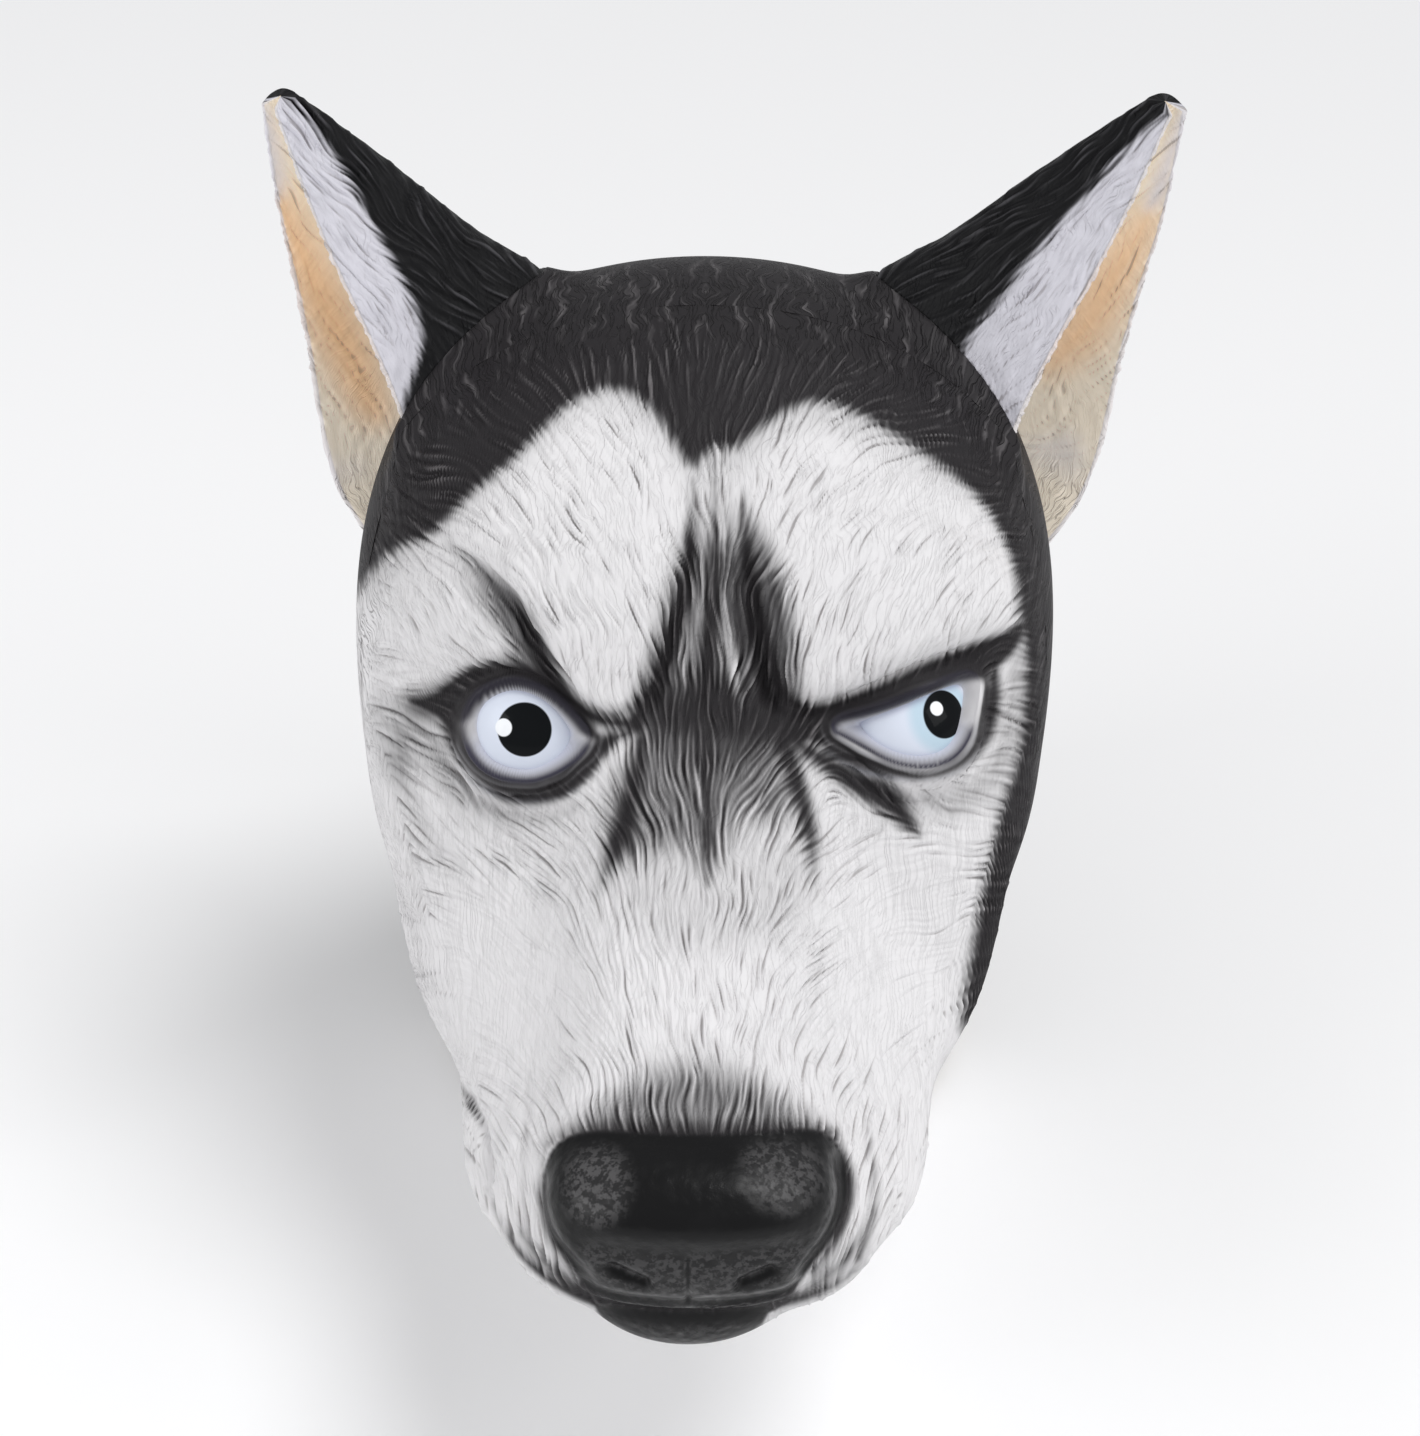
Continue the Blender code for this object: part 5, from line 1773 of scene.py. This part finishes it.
@dataclass
class Ear:
    """One upright ear: a folded leaf with a rounded ragged rim."""

    name: str
    side: int
    lean: float
    form: MaskForm
    view: PictureView
    levels: int = 230
    outer_runs: tuple[tuple[float, float, int], ...] = ((0, 0.36, 100), (0.36, 0.8, 24),
                                                         (0.8, 1, 17))
    inner_runs: tuple[tuple[float, float, int], ...] = ((0, 0.6, 20), (0.6, 1, 61))
    rim_points: int = 6
    strand_height: float = 0.28

    def rings(self) -> tuple[np.ndarray, np.ndarray, np.ndarray]:
        """Closed sections of the ear.

        Returns:
            The rings, each point's share from the near to the far rim, and 1 on the inner face.
        """
        table = np.array(self.form.ear_sections, float).reshape(-1, 4, 3)
        table[..., 0] *= 1 + self.lean * np.linspace(0, 1, len(table))[:, None]
        table *= (self.side * self.form.head_width / 2, self.form.back_reach,
                  self.form.ear_height)
        levels = np.linspace(0, len(table) - 1, self.levels)
        sections = spline(np.arange(len(table)), table, levels)
        outer_share, inner_share = self.spread(self.outer_runs), self.spread(self.inner_runs)
        turn = np.linspace(0, pi, self.rim_points + 2)[1:-1]
        rings = []
        for level, edges in zip(levels, sections):
            run = np.r_[0, np.cumsum(np.linalg.norm(np.diff(edges, axis=0), axis=1))]
            plane = np.cross(edges[1] - edges[0], edges[3] - edges[1])
            thin = (level / levels[-1]) ** 2
            wall = self.form.ear_wall * (1 - thin) + self.form.ear_tip_wall * thin
            outer, along, _ = self.leaf(run, edges, plane, outer_share)
            inner, _, inward = self.leaf(run, edges, plane, inner_share)
            inner = inner + inward * wall
            loop = [outer]
            for end, out in ((-1, along[-1]), (0, -along[0])):
                middle = (outer[end] + inner[end]) / 2
                spoke = outer[end] - middle
                angles = turn if end == -1 else turn[::-1]
                bead = [middle + cos(a) * spoke + sin(a) * out * wall / 2 for a in angles]
                loop.append(np.array(bead))
                if end == -1:
                    loop.append(inner[::-1])
            rings.append(np.concatenate(loop))
        rim = np.ones(self.rim_points)
        shares = np.concatenate([outer_share, rim, inner_share[::-1], 0 * rim])
        inside = np.concatenate([0 * outer_share, 0.5 * rim, 1 + 0 * inner_share, 0.5 * rim])
        return np.array(rings), shares, inside

    @staticmethod
    def spread(runs: tuple[tuple[float, float, int], ...]) -> np.ndarray:
        """Shares from the near to the far rim, closer together in some runs than in others."""
        parts = [np.linspace(low, high, count, False) for low, high, count in runs[:-1]]
        return np.concatenate([*parts, np.linspace(*runs[-1])])

    @staticmethod
    def leaf(run: np.ndarray, edges: np.ndarray, plane: np.ndarray,
             share: np.ndarray) -> tuple[np.ndarray, np.ndarray, np.ndarray]:
        """One section of the leaf, without its thickness.

        Args:
            run: Length from the near rim to each edge.
            edges: Near rim, medial ridge, back ridge and far rim.
            plane: Normal of the section.
            share: Shares from the near to the far rim.

        Returns:
            The points, their directions along the section and those into the ear.
        """
        points = spline(run, edges, share * run[-1])
        along = np.gradient(points, share, axis=0)
        along /= np.linalg.norm(along, axis=1, keepdims=True)
        inward = np.cross(plane, along)
        inward /= np.linalg.norm(inward, axis=1, keepdims=True)
        if (inward * (points.mean(axis=0) - points)).sum() < 0:
            inward = -inward
        return points, along, inward

    def build(self, material: bpy.types.Material) -> bpy.types.Object:
        """Build the ear with the given finish."""
        rings, shares, inside = self.rings()
        level = np.linspace(0, 7, self.levels)[:, None] + 0 * shares[None, :]
        share = shares[None, :] + 0 * level
        inner = inside[None, :] + 0 * level
        steps = np.linalg.norm(np.diff(rings, axis=0), axis=-1).mean(axis=1)
        along = np.r_[0, np.cumsum(steps)][:, None] + 0 * share
        loops = np.linalg.norm(rings - np.roll(rings, 1, axis=1), axis=-1)
        across = np.cumsum(loops, axis=1)
        edge = np.exp(-((share * (1 - share)) / 0.05) ** 2)
        ragged = soft_noise(along / MM / 4 + 9, across / MM / 3 + 31, 5 + self.side) - 0.5
        coarse = soft_noise(along / MM / 9 + 3, across / MM / 4 + 17, 8 + self.side) - 0.5
        normals = self.out(rings)
        push = (ragged * (0.25 + 0.55 * edge) + coarse * 0.4) * MM
        rings = rings + normals * push[..., None]
        normals = self.out(rings)
        seen = smoothstep(0.02, 0.16, self.view.facing(rings, normals))
        seen = seen * smoothstep(1.5, 2.2, level)
        place, scale = self.view.see(rings)
        flat, size = place.reshape(-1, 2), scale.reshape(-1)
        strand = CombedFur().sample(flat).reshape(seen.shape) * seen
        rings = rings + normals * (strand * self.strand_height * MM)[..., None]
        tip = rings[-1].mean(axis=0)
        rings[-1] = tip + 0.05 * (rings[-1] - tip)
        faces = grid_faces(self.levels, len(shares), True)
        if self.side > 0:
            faces = faces[:, ::-1]
        ear = make_mesh(self.name, rings.reshape(-1, 3), faces, None)
        dark = smoothstep(0.16, 0.30, share) * smoothstep(0.97, 0.90, share)
        dark = np.where(inner > 0.4, 0.0, dark)
        painted = self.paint(EAR_BLACK, flat, size).reshape(seen.shape)
        painted = np.where(inner > 0.8, 0.0, painted)
        add_mask(ear, "dark", dark + seen * (painted - dark))
        add_mask(ear, "inside", smoothstep(0.3, 0.8, inner))
        add_mask(ear, "tan", self.paint(EAR_TAN, flat, size).reshape(seen.shape) * seen)
        add_mask(ear, "pale", self.paint(EAR_PALE, flat, size).reshape(seen.shape) * seen)
        add_mask(ear, "strand", strand)
        add_mask(ear, "combed", seen)
        add_flow(ear, np.stack([along / MM, across / MM, 0 * across], -1))
        ear.data.materials.append(material)
        return ear

    @staticmethod
    def out(rings: np.ndarray) -> np.ndarray:
        """Normals that point out of the ear."""
        normals = grid_normals(rings, True)
        side = ((rings - rings.mean(axis=1, keepdims=True)) * normals).sum()
        return normals if side > 0 else -normals

    @staticmethod
    def paint(sprays: tuple[Spray, ...], places: np.ndarray, scale: np.ndarray) -> np.ndarray:
        """Strongest cover of several sprays at each place."""
        covers = [spray.cover(places, scale) for spray in sprays]
        return np.max(covers, axis=0)


@dataclass
class Eye:
    """One glossy domed eye behind the lids."""

    name: str
    gaze_left: float
    pupil_place: tuple[float, float]
    pupil_radius: float
    glint_place: tuple[float, float]
    glint_radius: float
    iris_share: float
    form: MaskForm
    view: PictureView
    skin: FaceSkin
    gaze_up: float = 30.0
    cap_angle: float = 74.0

    def build(self, finish: EyeGloss) -> bpy.types.Object:
        """Build the bowl and dress it with the given finish."""
        centre = self.form.eye_centre(self.name)
        radius = self.form.eye_radius
        left, up = radians(self.gaze_left), radians(self.gaze_up)
        gaze = np.array((sin(left) * cos(up), -cos(left) * cos(up), sin(up)))
        side = np.cross(gaze, (0, 0, 1.0))
        side /= np.linalg.norm(side)
        top = np.cross(side, gaze)
        cap = radians(self.cap_angle)
        outer = [(radius, a) for a in np.linspace(0.004, cap, 64)]
        inner = [(radius - self.form.eye_wall, a) for a in np.linspace(cap, 0.004, 20)]
        turns = np.linspace(0, 2 * pi, 110, False)
        ring = np.cos(turns)[:, None] * side + np.sin(turns)[:, None] * top
        rings = np.array([centre + r * (cos(a) * gaze + sin(a) * ring)
                          for r, a in outer + inner])
        faces = grid_faces(len(rings), len(turns), True)
        flat = rings.reshape(-1, 3)
        eye = make_mesh(self.name + "_ball", flat, faces, None)
        gap = self.skin.eye_gap(self.name, flat)
        place, _ = self.view.see(flat)
        heights = np.array(OPENINGS[self.name])[:, 1]
        high = smoothstep(heights.max(), heights.min(), place[:, 1])
        # Painted shade on the ball along the lids, stronger under the upper lid.
        shade = smoothstep(-2.6 - 1.2 * high.mean(), 0.2, gap) * (0.40 + 0.35 * high)
        add_mask(eye, "lid_shade", shade)
        pupil = self.view.ball_hit(self.pupil_place, centre, radius)
        glint = self.view.ball_hit(self.glint_place, centre, radius)
        _, scale = self.view.see(centre + pupil * radius)
        material = finish.make(self.name + "_gloss", centre, pupil,
                               asin(self.pupil_radius * float(scale) * MM / radius), glint,
                               asin(self.glint_radius * float(scale) * MM / radius),
                               self.iris_share)
        eye.data.materials.append(material)
        return eye


@dataclass(frozen=True)
class Studio:
    """Plain pale floor, even pale surroundings and soft lights."""

    floor_height: float = -0.308
    floor_size: float = 60.0
    floor_colour: Colour = (0.86, 0.86, 0.865, 1.0)
    floor_glow: float = 0.11
    sky_colour: Colour = (0.96, 0.965, 0.98, 1.0)
    sky_strength: float = 0.44
    key_from: Point = (0.42, 0.0, 1.0)
    key_strength: float = 1.35
    key_spread: float = 0.5

    def lamp(self, name: str, spot: Point, aim: Point, size: float, power: float) -> None:
        """Hang one soft square lamp.

        Args:
            name: Name of the lamp.
            spot: Where it hangs.
            aim: What it points at.
            size: Its side.
            power: Its watts.
        """
        data = bpy.data.lights.new(name, "AREA")
        data.size = size
        data.energy = power
        lamp = bpy.data.objects.new(name, data)
        lamp.location = spot
        lamp.rotation_euler = (Vector(aim) - Vector(spot)).to_track_quat("-Z", "Y").to_euler()
        bpy.context.scene.collection.objects.link(lamp)

    def build(self) -> None:
        """Lay the floor, set the surroundings and hang the lamps."""
        half = self.floor_size / 2
        corners = np.array([(-half, -half, self.floor_height), (half, -half, self.floor_height),
                            (half, half, self.floor_height), (-half, half, self.floor_height)])
        floor = make_mesh("pale_floor", corners, np.array([[0, 1, 2, 3]]), None)
        material, _, shader = new_material("pale_floor")
        shader.inputs["Base Color"].default_value = self.floor_colour
        shader.inputs["Roughness"].default_value = 0.7
        shader.inputs["Specular IOR Level"].default_value = 0.2
        shader.inputs["Emission Color"].default_value = self.floor_colour
        shader.inputs["Emission Strength"].default_value = self.floor_glow
        floor.data.materials.append(material)
        world = bpy.data.worlds.new("pale_surroundings")
        world.use_nodes = True
        sky = world.node_tree.nodes["Background"]
        sky.inputs["Color"].default_value = self.sky_colour
        sky.inputs["Strength"].default_value = self.sky_strength
        scene = bpy.context.scene
        scene.world = world
        scene.view_settings.view_transform = "Standard"
        self.lamp("left_softbox", (-1.3, -0.8, 0.6), (0.0, -0.05, -0.1), 0.8, 8.0)
        self.lamp("right_softbox", (1.3, -0.7, 0.7), (0.0, -0.05, -0.1), 0.8, 5.5)
        key = bpy.data.lights.new("overhead_key", "SUN")
        key.energy = self.key_strength
        key.angle = self.key_spread
        lamp = bpy.data.objects.new("overhead_key", key)
        lamp.rotation_euler = Vector(self.key_from).to_track_quat("Z", "Y").to_euler()
        bpy.context.scene.collection.objects.link(lamp)


def main() -> None:
    """Build every piece of the mask and the studio."""
    logging.basicConfig(level=logging.INFO, format="%(message)s")
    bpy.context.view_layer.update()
    form, view = MaskForm(), PictureView()
    fur, latex = MouldedFur(), LatexSkin()
    ear_finish = EarLatex().make(fur, latex)
    ears = [Ear("right_ear", -1, -0.035, form, view),
            Ear("left_ear", 1, 0.035, form, view)]
    outer = len(ears[0].spread(ears[0].outer_runs))
    roots = np.concatenate([ear.rings()[0][30:120:2, :outer].reshape(-1, 3) for ear in ears])
    skin = FaceSkin(form, view)
    pieces = skin.build(PaintedLatex().make(fur, latex), roots)
    pieces += [ear.build(ear_finish) for ear in ears]
    pieces.append(Lining(form, skin).build(RawLatex().make(latex)))
    for piece in pieces:
        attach(piece, "root")
        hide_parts("head_skin")
        LOG.info("%s: %d faces", piece.name, len(piece.data.polygons))
    eyes = [Eye("right_eye", 0.0, (523.9, 729.9), 27.4, (503.4, 727.5), 9.0, 0.0,
                form, view, skin),
            Eye("left_eye", 30.0, (945.5, 714.0), 24.4, (936.8, 708.5), 7.2, 0.8,
                form, view, skin)]
    for eye in eyes:
        ball = eye.build(EyeGloss())
        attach(ball, "root")
        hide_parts(eye.name)
        LOG.info("%s: %d faces", ball.name, len(ball.data.polygons))
    Studio().build()
    view.place_camera()


if __name__ == "__main__":
    main()
